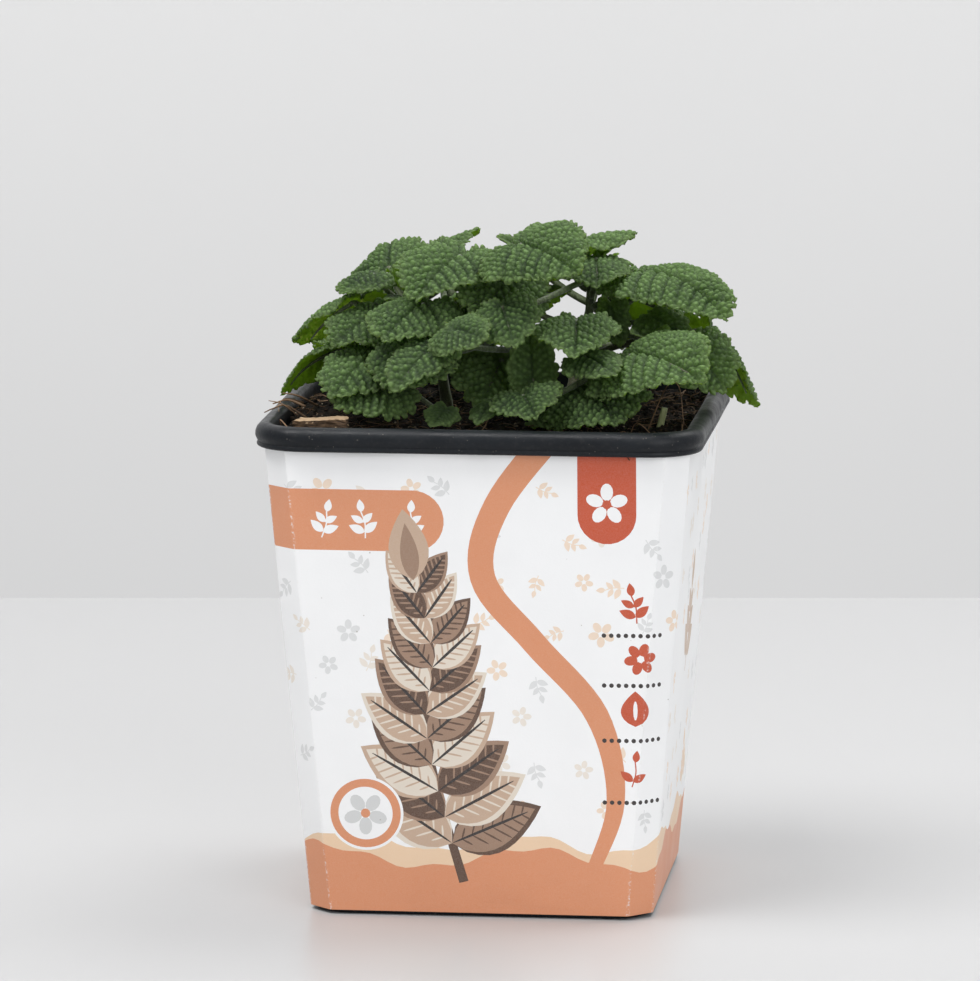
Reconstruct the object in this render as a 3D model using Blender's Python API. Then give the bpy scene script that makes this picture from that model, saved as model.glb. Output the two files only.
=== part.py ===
"""Catnip plant growing in a square black nursery pot with a folded card sleeve.

Metres, +Z up, -Y is the front. The origin is the middle of the pot's flat underside.
Sizes below are written in millimetres and turned into metres by MM.
"""

import math

import bmesh
import bpy
from mathutils import Matrix, Vector
from mathutils.bvhtree import BVHTree

MM = 0.001
GAP = 0.3

# Pot: a tapered square tub with a turned-down rim
POT_HEIGHT = 137.0
POT_FOOT_HALF = 46.6
POT_TOP_HALF = 57.4
POT_WALL = 1.2
POT_FLOOR = 1.6
POT_CORNER = 11.0
RIM_HALF = 61.5
RIM_HEIGHT = 6.3
RIM_SKIRT = 1.5
RIM_TOP_PLATE = 2.0
RIM_LIP = 0.9
RIM_EDGE = 0.8
RIM_INNER_HALF = 56.4
# Heights of the rim's outer roll, as shares of the rim's height
RIM_ROLL = (0.3, 0.65, 0.92)
CORNER_STEPS = 5
DRAIN_RADIUS = 3.5
DRAIN_REACH = (30.0, 36.0)
DRAIN_SIDES = 10

# Sleeve: one strip of card folded round the pot, glued in a lap at the back
SLEEVE_BOTTOM_Z = 1.2
SLEEVE_TOP_Z = 130.4
SLEEVE_BOTTOM_HALF = 47.5
SLEEVE_TOP_HALF = 58.2
SLEEVE_CHAMFER = 6.3
SLEEVE_CARD = 0.5
LAP_LEFT_X = 20.0
LAP_RIGHT_X = 34.0
LAP_STEP = 0.4
LAP_RAMP = 0.5

# Compost: fills the pot to just under the rim, with a heap at the left
SOIL_LEVEL = 132.5
SOIL_SIDE_PIECES = 5
SOIL_RINGS = (0.22, 0.45, 0.68, 0.85)
# Each mound: x, y, height, spread
SOIL_MOUNDS = (
    (-46, -6, 7.0, 9.0),
    (-44, -40, 1.5, 10.0),
    (40, -24, 1.0, 14.0),
    (4, 6, 1.8, 24.0),
    (30, 34, 1.2, 12.0),
    (-24, 38, -0.8, 12.0),
    (10, -44, -0.6, 12.0),
)

# Piece of coir chip lying at the front left
CHIP_LENGTH = 14.0
CHIP_DEPTH = 7.0
CHIP_THICKNESS = 3.0
CHIP_PLACE = (-43, -45, 136.0)
CHIP_TURN = -4.0

# Short cut stem standing in the compost at the right
STUB_FOOT = (47, -22)
STUB_LEAN = (1.5, 0.0, 6.0)
STUB_RADIUS = 1.0

# Square green stems: foot x, y, then a point half way up, then the growing tip
STEM_FOOT_RADIUS = 1.7
STEM_TIP_RADIUS = 1.1
STEM_STEPS = 4
STEM_SQUARE = 1.12
STEM_FLAT_DEGREES = 9
STEM_FOOT_REACH = 2.55
STEM_FOOT_GAP = 0.75
STEMS = {
    "stem_right_back": ((22, 8), (24, 6, 150), (26, 3, 172)),
    "stem_right_front": ((34, -9), (36, -11, 143), (42, -14, 153)),
    "stem_middle": ((4, 2), (5, -1, 152), (8, -8, 178)),
    "stem_left_back": ((-14, 2), (-17, 1, 150), (-21, -4, 170)),
    "stem_left_front": ((-30, -10), (-32, -11, 142), (-37, -12, 150)),
    "stem_rear_left": ((-10, 26), (-13, 30, 148), (-17, 33, 164)),
    "stem_rear_right": ((17, 28), (20, 33, 148), (24, 37, 166)),
}

# Leaves
LEAF_THICKNESS = 1.0
LEAF_EDGE_CURL = 55.0
PETIOLE_RADIUS = 0.75
PETIOLE_SIDES = 6
PETIOLE_STEPS = 4
LEAF_SPOKES = 2 * PETIOLE_SIDES
LEAF_RINGS = (0.35, 0.7, 1.0)
# Heart-shaped outline: reach from the petiole joint, as a share of the length, at each angle from the tip
LEAF_OUTLINE = ((0, 1.0), (30, 0.72), (60, 0.56), (90, 0.49), (120, 0.45), (150, 0.37), (180, 0.12))
LEAF_OUTLINE_WIDTH = 0.98

# Each leaf: stem, height of its petiole on the stem, petiole joint, tip, way its upper face looks,
# width, fold of each half in degrees, droop along the midrib in degrees, sideways sway of the petiole
LEAVES = {
    "leaf_left_low_hanging": ("stem_left_back", 152, (-41, 0, 165), (-57, 13, 149), (-2, 2, 3), 26, 5, 30, 3),
    "leaf_left_small": ("stem_left_back", 160, (-34, -6, 173), (-42, -16, 168), (-1, -2, 4), 16, 5, 40, 3),
    "leaf_left_shoulder": ("stem_left_back", 158, (-32, 10, 173), (-34, 34, 177), (-1, 0, 3), 26, 5, 20, 0),
    "leaf_left_crest": ("stem_left_back", 167, (-20, -2, 178), (-7, 13, 183), (-1, 2, 5), 19, 5, 20, 0),
    "leaf_left_top": ("stem_left_back", 166, (-9, -14, 179), (-19, -33, 168), (-1, -3, 3), 29, 24, 35, 0),
    "leaf_left_middle": ("stem_left_front", 148, (-31, -14, 163), (-43, -25, 155), (-1, -2, 3), 28, 10, 30, 0),
    "leaf_left_broad": ("stem_left_back", 154, (-18, -24, 167), (-27, -41, 158), (-1, -3, 3), 28, 10, 35, 0),
    "leaf_middle_green": ("stem_middle", 165, (5, -18, 174), (-2, -31, 163), (0, -4, 2), 28, 10, 35, 0),
    "leaf_left_drooping": ("stem_left_front", 148, (-45, 0, 151), (-60, -6, 138), (-2, 2, 3), 18, 5, 60, 0),
    "leaf_left_wide": ("stem_left_front", 146, (-31, -21, 153), (-41, -40, 142), (-1, -3, 3), 28, 10, 40, 0),
    "leaf_left_dark": ("stem_left_back", 147, (-19, -33, 156), (-24, -46, 145), (-1, -4, 2), 26, 12, 30, 0),
    "leaf_left_smooth": ("stem_middle", 154, (-13, -40, 157), (-23, -52, 146), (-1, -3, 4), 18, 24, 35, -3),
    "leaf_left_rim": ("stem_left_front", 140, (-27, -29, 146), (-41, -40, 140), (0, -3, 4), 24, 8, 30, 0),
    "leaf_middle_curled": ("stem_middle", 162, (-2, -16, 164), (-14, -32, 158), (0, -2, 3), 23, 12, 30, 0),
    "leaf_middle_low": ("stem_middle", 150, (-8, -45, 163), (3, -55, 161), (0, -3, 3), 18, 10, 30, -9),
    "leaf_middle_shaded": ("stem_middle", 146, (3, -18, 151), (-2, -27, 138), (0, -4, 2), 28, 10, 30, 0),
    "leaf_front_small_left": ("stem_left_front", 143, (-10, -40, 140), (-13, -48, 136), (0, -3, 2), 10, 10, 20, 0),
    "leaf_front_small_middle": ("stem_right_front", 138, (3, -36, 142), (0, -50, 137), (-1, -3, 2), 12, 10, 30, 3),
    "leaf_crown_front": ("stem_middle", 172, (9, -27, 184), (28, -49, 178), (0, -4, 4), 29, 18, 40, 0),
    "leaf_crown_top": ("stem_middle", 174, (7, 1, 181), (19, -8, 183), (0, 0, 5), 22, 6, 30, 0),
    "leaf_right_crest": ("stem_right_back", 168, (20, 2, 180), (33, 21, 180), (-1, 3, 5), 32, 5, 25, 0),
    "leaf_right_hooded": ("stem_right_back", 166, (28, -6, 178), (30, -22, 172), (0, -3, 3), 20, 5, 35, 0),
    "leaf_right_top": ("stem_right_back", 163, (42, -6, 174), (66, -28, 163), (1, -2, 4), 30, 15, 55, 0),
    "leaf_right_under": ("stem_right_back", 156, (38, 9, 166), (56, 15, 153), (1, 2, 3), 22, 5, 30, 0),
    "leaf_right_hanging": ("stem_right_back", 149, (60, -2, 158), (72, 0, 136), (2, 2, 1), 26, -10, 30, -3),
    "leaf_right_shaded": ("stem_right_back", 155, (56, -21, 155), (66, -27, 144), (1, -3, 2), 22, 18, 35, 0),
    "leaf_right_low": ("stem_right_front", 145, (40, -35, 155), (62, -55, 151), (0, -3, 4), 34, 15, 45, 3),
    "leaf_front_facing": ("stem_right_back", 148, (25, -30, 164), (27, -52, 156), (0, -3, 4), 24, 15, 40, 0),
    "leaf_front_hidden": ("stem_right_front", 147, (28, -38, 155), (38, -52, 151), (0, -2, 3), 16, 10, 30, 3),
    "leaf_front_right": ("stem_right_front", 143, (29, -32, 146), (38, -51, 138), (0, -3, 3), 32, 4, 35, 0),
    "leaf_front_upright": ("stem_right_front", 142, (13, -30, 147), (12, -26, 162), (0, -5, 1), 14, 30, 20, 0),
    "leaf_front_folded": ("stem_right_front", 151, (12, -46, 145), (17, -58, 140), (0, -3, 3), 20, 25, 30, -9),
    "leaf_middle_upper": ("stem_right_back", 170, (5, -35, 168), (10, -47, 158), (0, -4, 2), 20, 10, 30, -9),
    "leaf_back_lit": ("stem_right_back", 156, (6, 7, 167), (19, 11, 166), (0, 3, 4), 18, 0, 20, 0),
    "leaf_rim_dark": ("stem_middle", 143, (19, -21, 137), (23, -39, 134), (0, -3, 3), 18, 16, 30, 6),
    "leaf_rear_left_top": ("stem_left_back", 155, (-22, 38, 168), (-40, 56, 158), (-1, 1, 4), 34, 5, 40, 0),
    "leaf_rear_middle_top": ("stem_rear_right", 160, (6, 40, 174), (-2, 62, 166), (0, 1, 4), 34, 5, 40, 0),
    "leaf_rear_right_top": ("stem_rear_right", 158, (36, 35, 170), (56, 51, 160), (1, 1, 4), 34, 5, 40, 0),
    "leaf_rear_left_low": ("stem_rear_left", 146, (-34, 30, 154), (-56, 42, 144), (-1, 1, 3), 32, 5, 40, 0),
    "leaf_rear_middle_low": ("stem_rear_left", 150, (-6, 44, 150), (-14, 66, 142), (0, 1, 3), 32, 5, 40, 0),
    "leaf_rear_right_low": ("stem_rear_right", 147, (40, 36, 152), (62, 50, 142), (1, 1, 3), 32, 5, 40, 0),
    "leaf_rear_corner": ("stem_rear_right", 149, (18, 48, 152), (24, 70, 142), (0, 1, 3), 28, 5, 40, 0),
    "leaf_rear_inner": ("stem_rear_left", 152, (-4, 18, 166), (-6, 36, 160), (0, 1, 4), 26, 5, 30, 0),
}

COLOURS = {
    "pot": ((0.020, 0.022, 0.026), 0.38),
    "sleeve": ((0.80, 0.80, 0.79), 0.55),
    "soil": ((0.022, 0.015, 0.010), 0.95),
    "chip": ((0.36, 0.22, 0.10), 0.9),
    "stub": ((0.24, 0.27, 0.12), 0.7),
    "stem": ((0.055, 0.075, 0.030), 0.6),
    "leaf": ((0.10, 0.19, 0.09), 0.62),
}


def clear_scene():
    for obj in list(bpy.data.objects):
        bpy.data.objects.remove(obj)


def material(kind):
    """One Principled material for each kind of surface, made the first time it is asked for."""
    found = bpy.data.materials.get(kind)
    if found:
        return found
    colour, roughness = COLOURS[kind]
    made = bpy.data.materials.new(kind)
    made.use_nodes = True
    shader = made.node_tree.nodes["Principled BSDF"]
    shader.inputs["Base Color"].default_value = (*colour, 1.0)
    shader.inputs["Roughness"].default_value = roughness
    shader.inputs["Metallic"].default_value = 0.0
    return made


def add_object(name, points, faces, kind, smooth=False):
    """A mesh object from points in millimetres."""
    mesh = bpy.data.meshes.new(name)
    mesh.from_pydata([Vector(point) * MM for point in points], [], faces)
    if smooth:
        mesh.shade_smooth()
        mesh.set_sharp_from_angle(angle=math.radians(40))
    mesh.materials.append(material(kind))
    obj = bpy.data.objects.new(name, mesh)
    bpy.context.scene.collection.objects.link(obj)
    return obj


def bridge(faces, first, second, count):
    """Quads from the ring that starts at index first to the next ring out, facing outwards."""
    for i in range(count):
        j = (i + 1) % count
        faces.append((first + i, first + j, second + j, second + i))


def rounded_square(half, radius, z):
    """Anticlockwise points of a square with round corners, seen from above."""
    points = []
    for corner in range(4):
        turn = math.radians(90 * corner)
        for step in range(CORNER_STEPS):
            angle = turn + math.radians(90) * step / (CORNER_STEPS - 1)
            centre = Matrix.Rotation(turn, 2) @ Vector((half - radius, half - radius))
            points.append((centre.x + radius * math.cos(angle), centre.y + radius * math.sin(angle), z))
    return points


def slope(z, low, high, top):
    """Linear taper from low at z = 0 to high at z = top."""
    return low + (high - low) * z / top


def pot_inner_half(z):
    return slope(z, POT_FOOT_HALF - POT_WALL, RIM_INNER_HALF, POT_HEIGHT)


def build_pot():
    rim_low = POT_HEIGHT - RIM_HEIGHT
    plate_low = POT_HEIGHT - RIM_TOP_PLATE
    body_high = slope(plate_low, POT_FOOT_HALF, POT_TOP_HALF, rim_low)
    inner_corner = POT_CORNER - POT_WALL
    rim_corner = POT_CORNER + RIM_HALF - POT_TOP_HALF
    profile = (
        (POT_FOOT_HALF, POT_CORNER, 0.0),
        (body_high, POT_CORNER, plate_low),
        (RIM_HALF - RIM_LIP - RIM_SKIRT, rim_corner - RIM_LIP - RIM_SKIRT, plate_low),
        (RIM_HALF - RIM_LIP - RIM_SKIRT, rim_corner - RIM_LIP - RIM_SKIRT, rim_low),
        (RIM_HALF - RIM_LIP, rim_corner - RIM_LIP, rim_low),
        (RIM_HALF, rim_corner, rim_low + RIM_ROLL[0] * RIM_HEIGHT),
        (RIM_HALF, rim_corner, rim_low + RIM_ROLL[1] * RIM_HEIGHT),
        (RIM_HALF - RIM_LIP, rim_corner - RIM_LIP, rim_low + RIM_ROLL[2] * RIM_HEIGHT),
        (RIM_HALF - 2.5 * RIM_LIP, rim_corner - 2.5 * RIM_LIP, POT_HEIGHT),
        (RIM_INNER_HALF + RIM_EDGE, inner_corner + RIM_EDGE, POT_HEIGHT),
        (RIM_INNER_HALF, inner_corner, POT_HEIGHT - RIM_EDGE),
        (pot_inner_half(POT_FLOOR), inner_corner, POT_FLOOR),
    )
    points = []
    for half, radius, z in profile:
        points.extend(rounded_square(half, radius, z))
    count = 4 * CORNER_STEPS
    faces = []
    for ring in range(len(profile) - 1):
        bridge(faces, ring * count, (ring + 1) * count, count)
    faces.append(tuple(reversed(range(count))))
    last = (len(profile) - 1) * count
    faces.append(tuple(range(last, last + count)))
    pot = add_object("pot", points, faces, "pot", smooth=True)
    cut = pot.modifiers.new("drain_holes", "BOOLEAN")
    cut.operation = "DIFFERENCE"
    cut.object = build_drain_cutter()
    return pot


def build_drain_cutter():
    """Upright pegs where the pot's floor is pierced, one near each corner and one between each pair."""
    points, faces = [], []
    for turn in range(8):
        angle = math.radians(45 * turn)
        reach = DRAIN_REACH[turn % 2]
        x, y = reach * math.cos(angle), reach * math.sin(angle)
        first = len(points)
        for z in (-1.0, POT_FLOOR + 1.0):
            for side in range(DRAIN_SIDES):
                around = math.tau * side / DRAIN_SIDES
                points.append((x + DRAIN_RADIUS * math.cos(around), y + DRAIN_RADIUS * math.sin(around), z))
        bridge(faces, first, first + DRAIN_SIDES, DRAIN_SIDES)
        faces.append(tuple(reversed(range(first, first + DRAIN_SIDES))))
        faces.append(tuple(range(first + DRAIN_SIDES, first + 2 * DRAIN_SIDES)))
    cutter = add_object("drain_cutter", points, faces, "pot")
    cutter.hide_render = True
    cutter.display_type = "WIRE"
    return cutter


def sleeve_ring(half, z, inset):
    """One turn of the folded strip: eight fold lines and the step of the glued lap at the back."""
    h = half - inset
    c = SLEEVE_CHAMFER - inset * (2 - math.sqrt(2))
    lap = 0.0 if inset else LAP_STEP
    return [
        (h - c, -h, z),
        (h, -(h - c), z),
        (h, h - c, z),
        (h - c, h, z),
        (LAP_RIGHT_X, h, z),
        (LAP_RIGHT_X - LAP_RAMP, h + lap, z),
        (LAP_LEFT_X + LAP_RAMP, h + lap, z),
        (LAP_LEFT_X, h, z),
        (-(h - c), h, z),
        (-h, h - c, z),
        (-h, -(h - c), z),
        (-(h - c), -h, z),
    ]


def build_sleeve():
    points = []
    points.extend(sleeve_ring(SLEEVE_BOTTOM_HALF, SLEEVE_BOTTOM_Z, 0.0))
    points.extend(sleeve_ring(SLEEVE_TOP_HALF, SLEEVE_TOP_Z, 0.0))
    points.extend(sleeve_ring(SLEEVE_TOP_HALF, SLEEVE_TOP_Z, SLEEVE_CARD))
    points.extend(sleeve_ring(SLEEVE_BOTTOM_HALF, SLEEVE_BOTTOM_Z, SLEEVE_CARD))
    count = len(points) // 4
    faces = []
    for ring in range(4):
        bridge(faces, ring * count, ((ring + 1) % 4) * count, count)
    return add_object("sleeve", points, faces, "sleeve")


def soil_height(x, y):
    z = SOIL_LEVEL
    for centre_x, centre_y, height, spread in SOIL_MOUNDS:
        away = ((x - centre_x) ** 2 + (y - centre_y) ** 2) / spread**2
        z += height * math.exp(-away)
    return z


def soil_ring(half, radius):
    """A rounded square whose straight sides are split into short pieces."""
    corners = [Vector(point) for point in rounded_square(half, radius, 0.0)]
    ring = []
    for i, start in enumerate(corners):
        end = corners[(i + 1) % len(corners)]
        pieces = SOIL_SIDE_PIECES if i % CORNER_STEPS == CORNER_STEPS - 1 else 1
        for piece in range(pieces):
            ring.append(start.lerp(end, piece / pieces))
    return ring


def build_soil():
    low_z = POT_FLOOR + GAP
    low_half = pot_inner_half(low_z) - GAP
    high_half = pot_inner_half(SOIL_LEVEL) - 1.5 * GAP
    corner = POT_CORNER - POT_WALL
    points = [Vector((spot.x, spot.y, low_z)) for spot in soil_ring(low_half, corner)]
    count = len(points)
    for share in (1.0, *reversed(SOIL_RINGS)):
        for spot in soil_ring(high_half * share, corner * share):
            points.append((spot.x, spot.y, soil_height(spot.x, spot.y)))
    points.append((0.0, 0.0, soil_height(0.0, 0.0)))
    faces = [tuple(reversed(range(count)))]
    rings = len(SOIL_RINGS) + 1
    for ring in range(rings):
        bridge(faces, ring * count, (ring + 1) * count, count)
    middle = len(points) - 1
    inner = rings * count
    for i in range(count):
        faces.append((inner + i, inner + (i + 1) % count, middle))
    return add_object("soil", points, faces, "soil")


def build_chip():
    """A rough block of coir with cut corners, lying flat."""
    half_x, half_y, half_z = CHIP_LENGTH / 2, CHIP_DEPTH / 2, CHIP_THICKNESS / 2
    turn = math.radians(CHIP_TURN)
    outline = (
        (-half_x, -half_y + 1.5),
        (-half_x + 1.5, -half_y),
        (half_x - 1.0, -half_y),
        (half_x, -half_y + 1.0),
        (half_x - 1.5, half_y),
        (-half_x + 2.5, half_y - 0.6),
    )
    points = []
    for z, shrink in ((-half_z, 0.96), (half_z - 0.5, 1.0), (half_z, 0.93)):
        for x, y in outline:
            across = x * math.cos(turn) - y * math.sin(turn)
            along = x * math.sin(turn) + y * math.cos(turn)
            place = Vector(CHIP_PLACE) + Vector((across * shrink, along * shrink, z))
            points.append(place)
    count = len(outline)
    faces = [tuple(reversed(range(count))), tuple(range(2 * count, 3 * count))]
    bridge(faces, 0, count, count)
    bridge(faces, count, 2 * count, count)
    return add_object("coir_chip", points, faces, "chip")


def smooth_path(knots, steps):
    """Points along a smooth curve through the knots."""
    knots = [Vector(knot) for knot in knots]
    padded = [2 * knots[0] - knots[1], *knots, 2 * knots[-1] - knots[-2]]
    path = []
    for i in range(len(knots) - 1):
        before, start, end, after = padded[i : i + 4]
        for step in range(steps):
            t = step / steps
            path.append(
                0.5
                * (
                    2 * start
                    + (end - before) * t
                    + (2 * before - 5 * start + 4 * end - after) * t**2
                    + (3 * start - before - 3 * end + after) * t**3
                )
            )
    path.append(knots[-1])
    return path


def section_axes(direction, sideways):
    """Two unit vectors square to the direction, the first as near sideways as it can be."""
    across = (sideways - sideways.dot(direction) * direction).normalized()
    return across, direction.cross(across)


def stem_foot(soil_tree, x, y):
    """Height just above the compost under a foot at x, y."""
    top = 0.0
    for side in range(9):
        reach = STEM_FOOT_REACH if side < 8 else 0.0
        around = math.tau * side / 8
        above = Vector((x + reach * math.cos(around), y + reach * math.sin(around), 2 * POT_HEIGHT)) * MM
        place = soil_tree.ray_cast(above, Vector((0, 0, -1)))[0]
        top = max(top, place.z / MM)
    return top + STEM_FOOT_GAP


def stem_path(name, soil_tree):
    (x, y), middle, tip = STEMS[name]
    return smooth_path([(x, y, stem_foot(soil_tree, x, y)), middle, tip], STEM_STEPS)


def stem_radius(share):
    return STEM_FOOT_RADIUS + (STEM_TIP_RADIUS - STEM_FOOT_RADIUS) * share


def build_tube(points, faces, path, radii, section, sideways):
    """Adds a closed tube along the path; section gives each corner's angle and reach."""
    first = len(points)
    sides = len(section)
    for i, place in enumerate(path):
        ahead = path[min(i + 1, len(path) - 1)] - path[max(i - 1, 0)]
        across, upward = section_axes(ahead.normalized(), sideways)
        for angle, reach in section:
            points.append(place + radii[i] * reach * (math.cos(angle) * across + math.sin(angle) * upward))
    for i in range(len(path) - 1):
        bridge(faces, first + i * sides, first + (i + 1) * sides, sides)
    faces.append(tuple(reversed(range(first, first + sides))))
    last = first + (len(path) - 1) * sides
    faces.append(tuple(range(last, last + sides)))


def square_section():
    """A square with narrow flats on its corners."""
    half_flat = math.radians(STEM_FLAT_DEGREES)
    section = []
    for corner in range(4):
        middle = math.radians(45 + 90 * corner)
        section.append((middle - half_flat, STEM_SQUARE))
        section.append((middle + half_flat, STEM_SQUARE))
    return section


def build_stem(name, soil_tree):
    path = stem_path(name, soil_tree)
    radii = [stem_radius(i / (len(path) - 1)) for i in range(len(path))]
    points, faces = [], []
    build_tube(points, faces, path, radii, square_section(), Vector((1, 0, 0)))
    return add_object(name, points, faces, "stem", smooth=True), path


def build_stub(soil_tree):
    x, y = STUB_FOOT
    foot = Vector((x, y, stem_foot(soil_tree, x, y)))
    path = [foot, foot + Vector(STUB_LEAN)]
    points, faces = [], []
    build_tube(points, faces, path, [STUB_RADIUS, STUB_RADIUS * 0.9], square_section(), Vector((1, 0, 0)))
    return add_object("cut_stem", points, faces, "stub", smooth=True)


class Blade:
    """The curved middle surface of a leaf, from flat places x across and y along the midrib."""

    def __init__(self, base, tip, face, width, fold, droop):
        self.base = Vector(base)
        chord = Vector(tip) - self.base
        self.along = chord.normalized()
        face = Vector(face)
        self.up = (face - face.dot(self.along) * self.along).normalized()
        self.side = self.along.cross(self.up)
        self.droop = math.radians(droop)
        self.length = chord.length * (self.droop / 2) / math.sin(self.droop / 2)
        self.width = width
        self.fold = math.radians(fold)
        self.curl = math.radians(LEAF_EDGE_CURL) / (width / 2)

    def outline(self, angle):
        """Flat place on the margin at this angle from the tip, in degrees."""
        turn = abs((angle + 180) % 360 - 180)
        for (start, low), (end, high) in zip(LEAF_OUTLINE, LEAF_OUTLINE[1:]):
            if turn <= end:
                break
        reach = (low + (high - low) * (turn - start) / (end - start)) * self.length
        wide = self.width / (LEAF_OUTLINE_WIDTH * self.length)
        return reach * wide * math.sin(math.radians(angle)), reach * math.cos(math.radians(angle))

    def place(self, x, y, lift=0.0):
        """The curved place of a flat one, lifted square to the surface."""
        reach = self.droop / self.length
        rise = self.droop / 2 - reach * y
        forward = (math.sin(self.droop / 2) - math.sin(rise)) / reach
        upward = (math.cos(rise) - math.cos(self.droop / 2)) / reach
        normal = math.cos(rise) * self.up - math.sin(rise) * self.along
        tilt = self.fold - self.curl * abs(x)
        outward = (math.sin(self.fold) - math.sin(tilt)) / self.curl
        height = (math.cos(tilt) - math.cos(self.fold)) / self.curl
        side = self.side if x >= 0 else -self.side
        spot = self.base + forward * self.along + upward * self.up + outward * side + height * normal
        return spot + lift * (math.cos(tilt) * normal - math.sin(tilt) * side)


def petiole_path(blade, stem, height, sway):
    """A curve from beside the stem to just under the blade's joint."""
    i = 0
    while i < len(stem) - 2 and stem[i + 1].z < height:
        i += 1
    share = (height - stem[i].z) / (stem[i + 1].z - stem[i].z)
    axis = stem[i] + min(max(share, 0.0), 1.0) * (stem[i + 1] - stem[i])
    out = Vector((blade.base.x - axis.x, blade.base.y - axis.y, 0)).normalized()
    start = axis + out * (stem_radius(0.6) * STEM_SQUARE + GAP)
    end = blade.place(0, 0, -LEAF_THICKNESS / 2)
    under = blade.place(-0.01, 0.2, -1.0) - blade.place(-0.01, 0.2, 0.0)
    span = (end - start).length
    sideways = out.cross(Vector((0, 0, 1))) * sway
    first = start + out * span * 0.3 + Vector((0, 0, span * 0.12)) + sideways
    last = end + (under.normalized() - 0.8 * blade.along) * span * 0.3 + sideways * 0.5
    path = []
    for step in range(PETIOLE_STEPS + 1):
        t = step / PETIOLE_STEPS
        path.append(
            (1 - t) ** 3 * start + 3 * (1 - t) ** 2 * t * first + 3 * (1 - t) * t**2 * last + t**3 * end
        )
    return path


def leaf_shell(blade, path):
    """Points and faces of the blade and its petiole as one closed shell."""
    lift = LEAF_THICKNESS / 2
    count = LEAF_SPOKES
    margin = [blade.outline(360 * k / count) for k in range(count)]
    points = [blade.place(0.0, 0.0, lift)]
    for share in LEAF_RINGS:
        for x, y in margin:
            points.append(blade.place(x * share, y * share, lift))
    for share in reversed(LEAF_RINGS):
        for x, y in margin:
            points.append(blade.place(x * share, y * share, -lift))
    faces = []
    for k in range(count):
        faces.append((0, 1 + (k + 1) % count, 1 + k))
    rings = 2 * len(LEAF_RINGS)
    for ring in range(rings - 1):
        first = 1 + ring * count
        for k in range(count):
            j = (k + 1) % count
            faces.append((first + k, first + j, first + count + j))
            faces.append((first + k, first + count + j, first + count + k))
    under = 1 + (rings - 1) * count
    collar = len(points)
    add_petiole(points, blade, path)
    for i in range(PETIOLE_SIDES):
        j = (i + 1) % PETIOLE_SIDES
        left, middle, right = under + 2 * i, under + 2 * i + 1, under + 2 * j
        faces.append((left, middle, collar + i))
        faces.append((collar + i, middle, collar + j))
        faces.append((middle, right, collar + j))
    for step in range(PETIOLE_STEPS):
        first = collar + step * PETIOLE_SIDES
        for i in range(PETIOLE_SIDES):
            j = (i + 1) % PETIOLE_SIDES
            faces.append((first + i, first + j, first + PETIOLE_SIDES + j, first + PETIOLE_SIDES + i))
    last = collar + PETIOLE_STEPS * PETIOLE_SIDES
    faces.append(tuple(range(last, last + PETIOLE_SIDES)))
    return points, faces


def add_petiole(points, blade, path):
    """Rings of the petiole, from the blade's underside back to the stem."""
    radius = PETIOLE_RADIUS
    for i in range(PETIOLE_SIDES):
        angle = math.tau * i / PETIOLE_SIDES
        points.append(blade.place(radius * math.sin(angle), radius * math.cos(angle), -LEAF_THICKNESS / 2))
    across, ahead = blade.side, blade.along
    for step in range(PETIOLE_STEPS - 1, -1, -1):
        direction = (path[step + 1] - path[max(step - 1, 0)]).normalized()
        across = (across - across.dot(direction) * direction).normalized()
        ahead = direction.cross(across)
        for i in range(PETIOLE_SIDES):
            angle = math.tau * i / PETIOLE_SIDES
            points.append(path[step] + radius * (math.sin(angle) * across + math.cos(angle) * ahead))


def build_leaf(name, stem_paths):
    stem, height, base, tip, face, width, fold, droop, sway = LEAVES[name]
    blade = Blade(base, tip, face, width, fold, droop)
    path = petiole_path(blade, stem_paths[stem], height, sway)
    points, faces = leaf_shell(blade, path)
    leaf = add_object(name, points, faces, "leaf")
    shell = bmesh.new()
    shell.from_mesh(leaf.data)
    bmesh.ops.recalc_face_normals(shell, faces=shell.faces)
    shell.to_mesh(leaf.data)
    shell.free()
    leaf.data.shade_smooth()
    return leaf


def tree_of(obj):
    return BVHTree.FromPolygons(
        [vertex.co for vertex in obj.data.vertices],
        [tuple(polygon.vertices) for polygon in obj.data.polygons],
    )


def main():
    clear_scene()
    build_pot()
    build_sleeve()
    soil_tree = tree_of(build_soil())
    build_chip()
    build_stub(soil_tree)
    stem_paths = {}
    for name in STEMS:
        _, stem_paths[name] = build_stem(name, soil_tree)
    for name in LEAVES:
        build_leaf(name, stem_paths)


main()
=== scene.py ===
"""Catnip plant in a square nursery pot: the visible pieces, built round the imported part.

The scene is in metres with +Z up and the front towards -Y. Sizes below are in millimetres unless a name
ends in _M, and MM turns them into metres.
"""

import math

import bpy
import numpy as np
from mathutils import Matrix, Vector, geometry, noise


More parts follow.
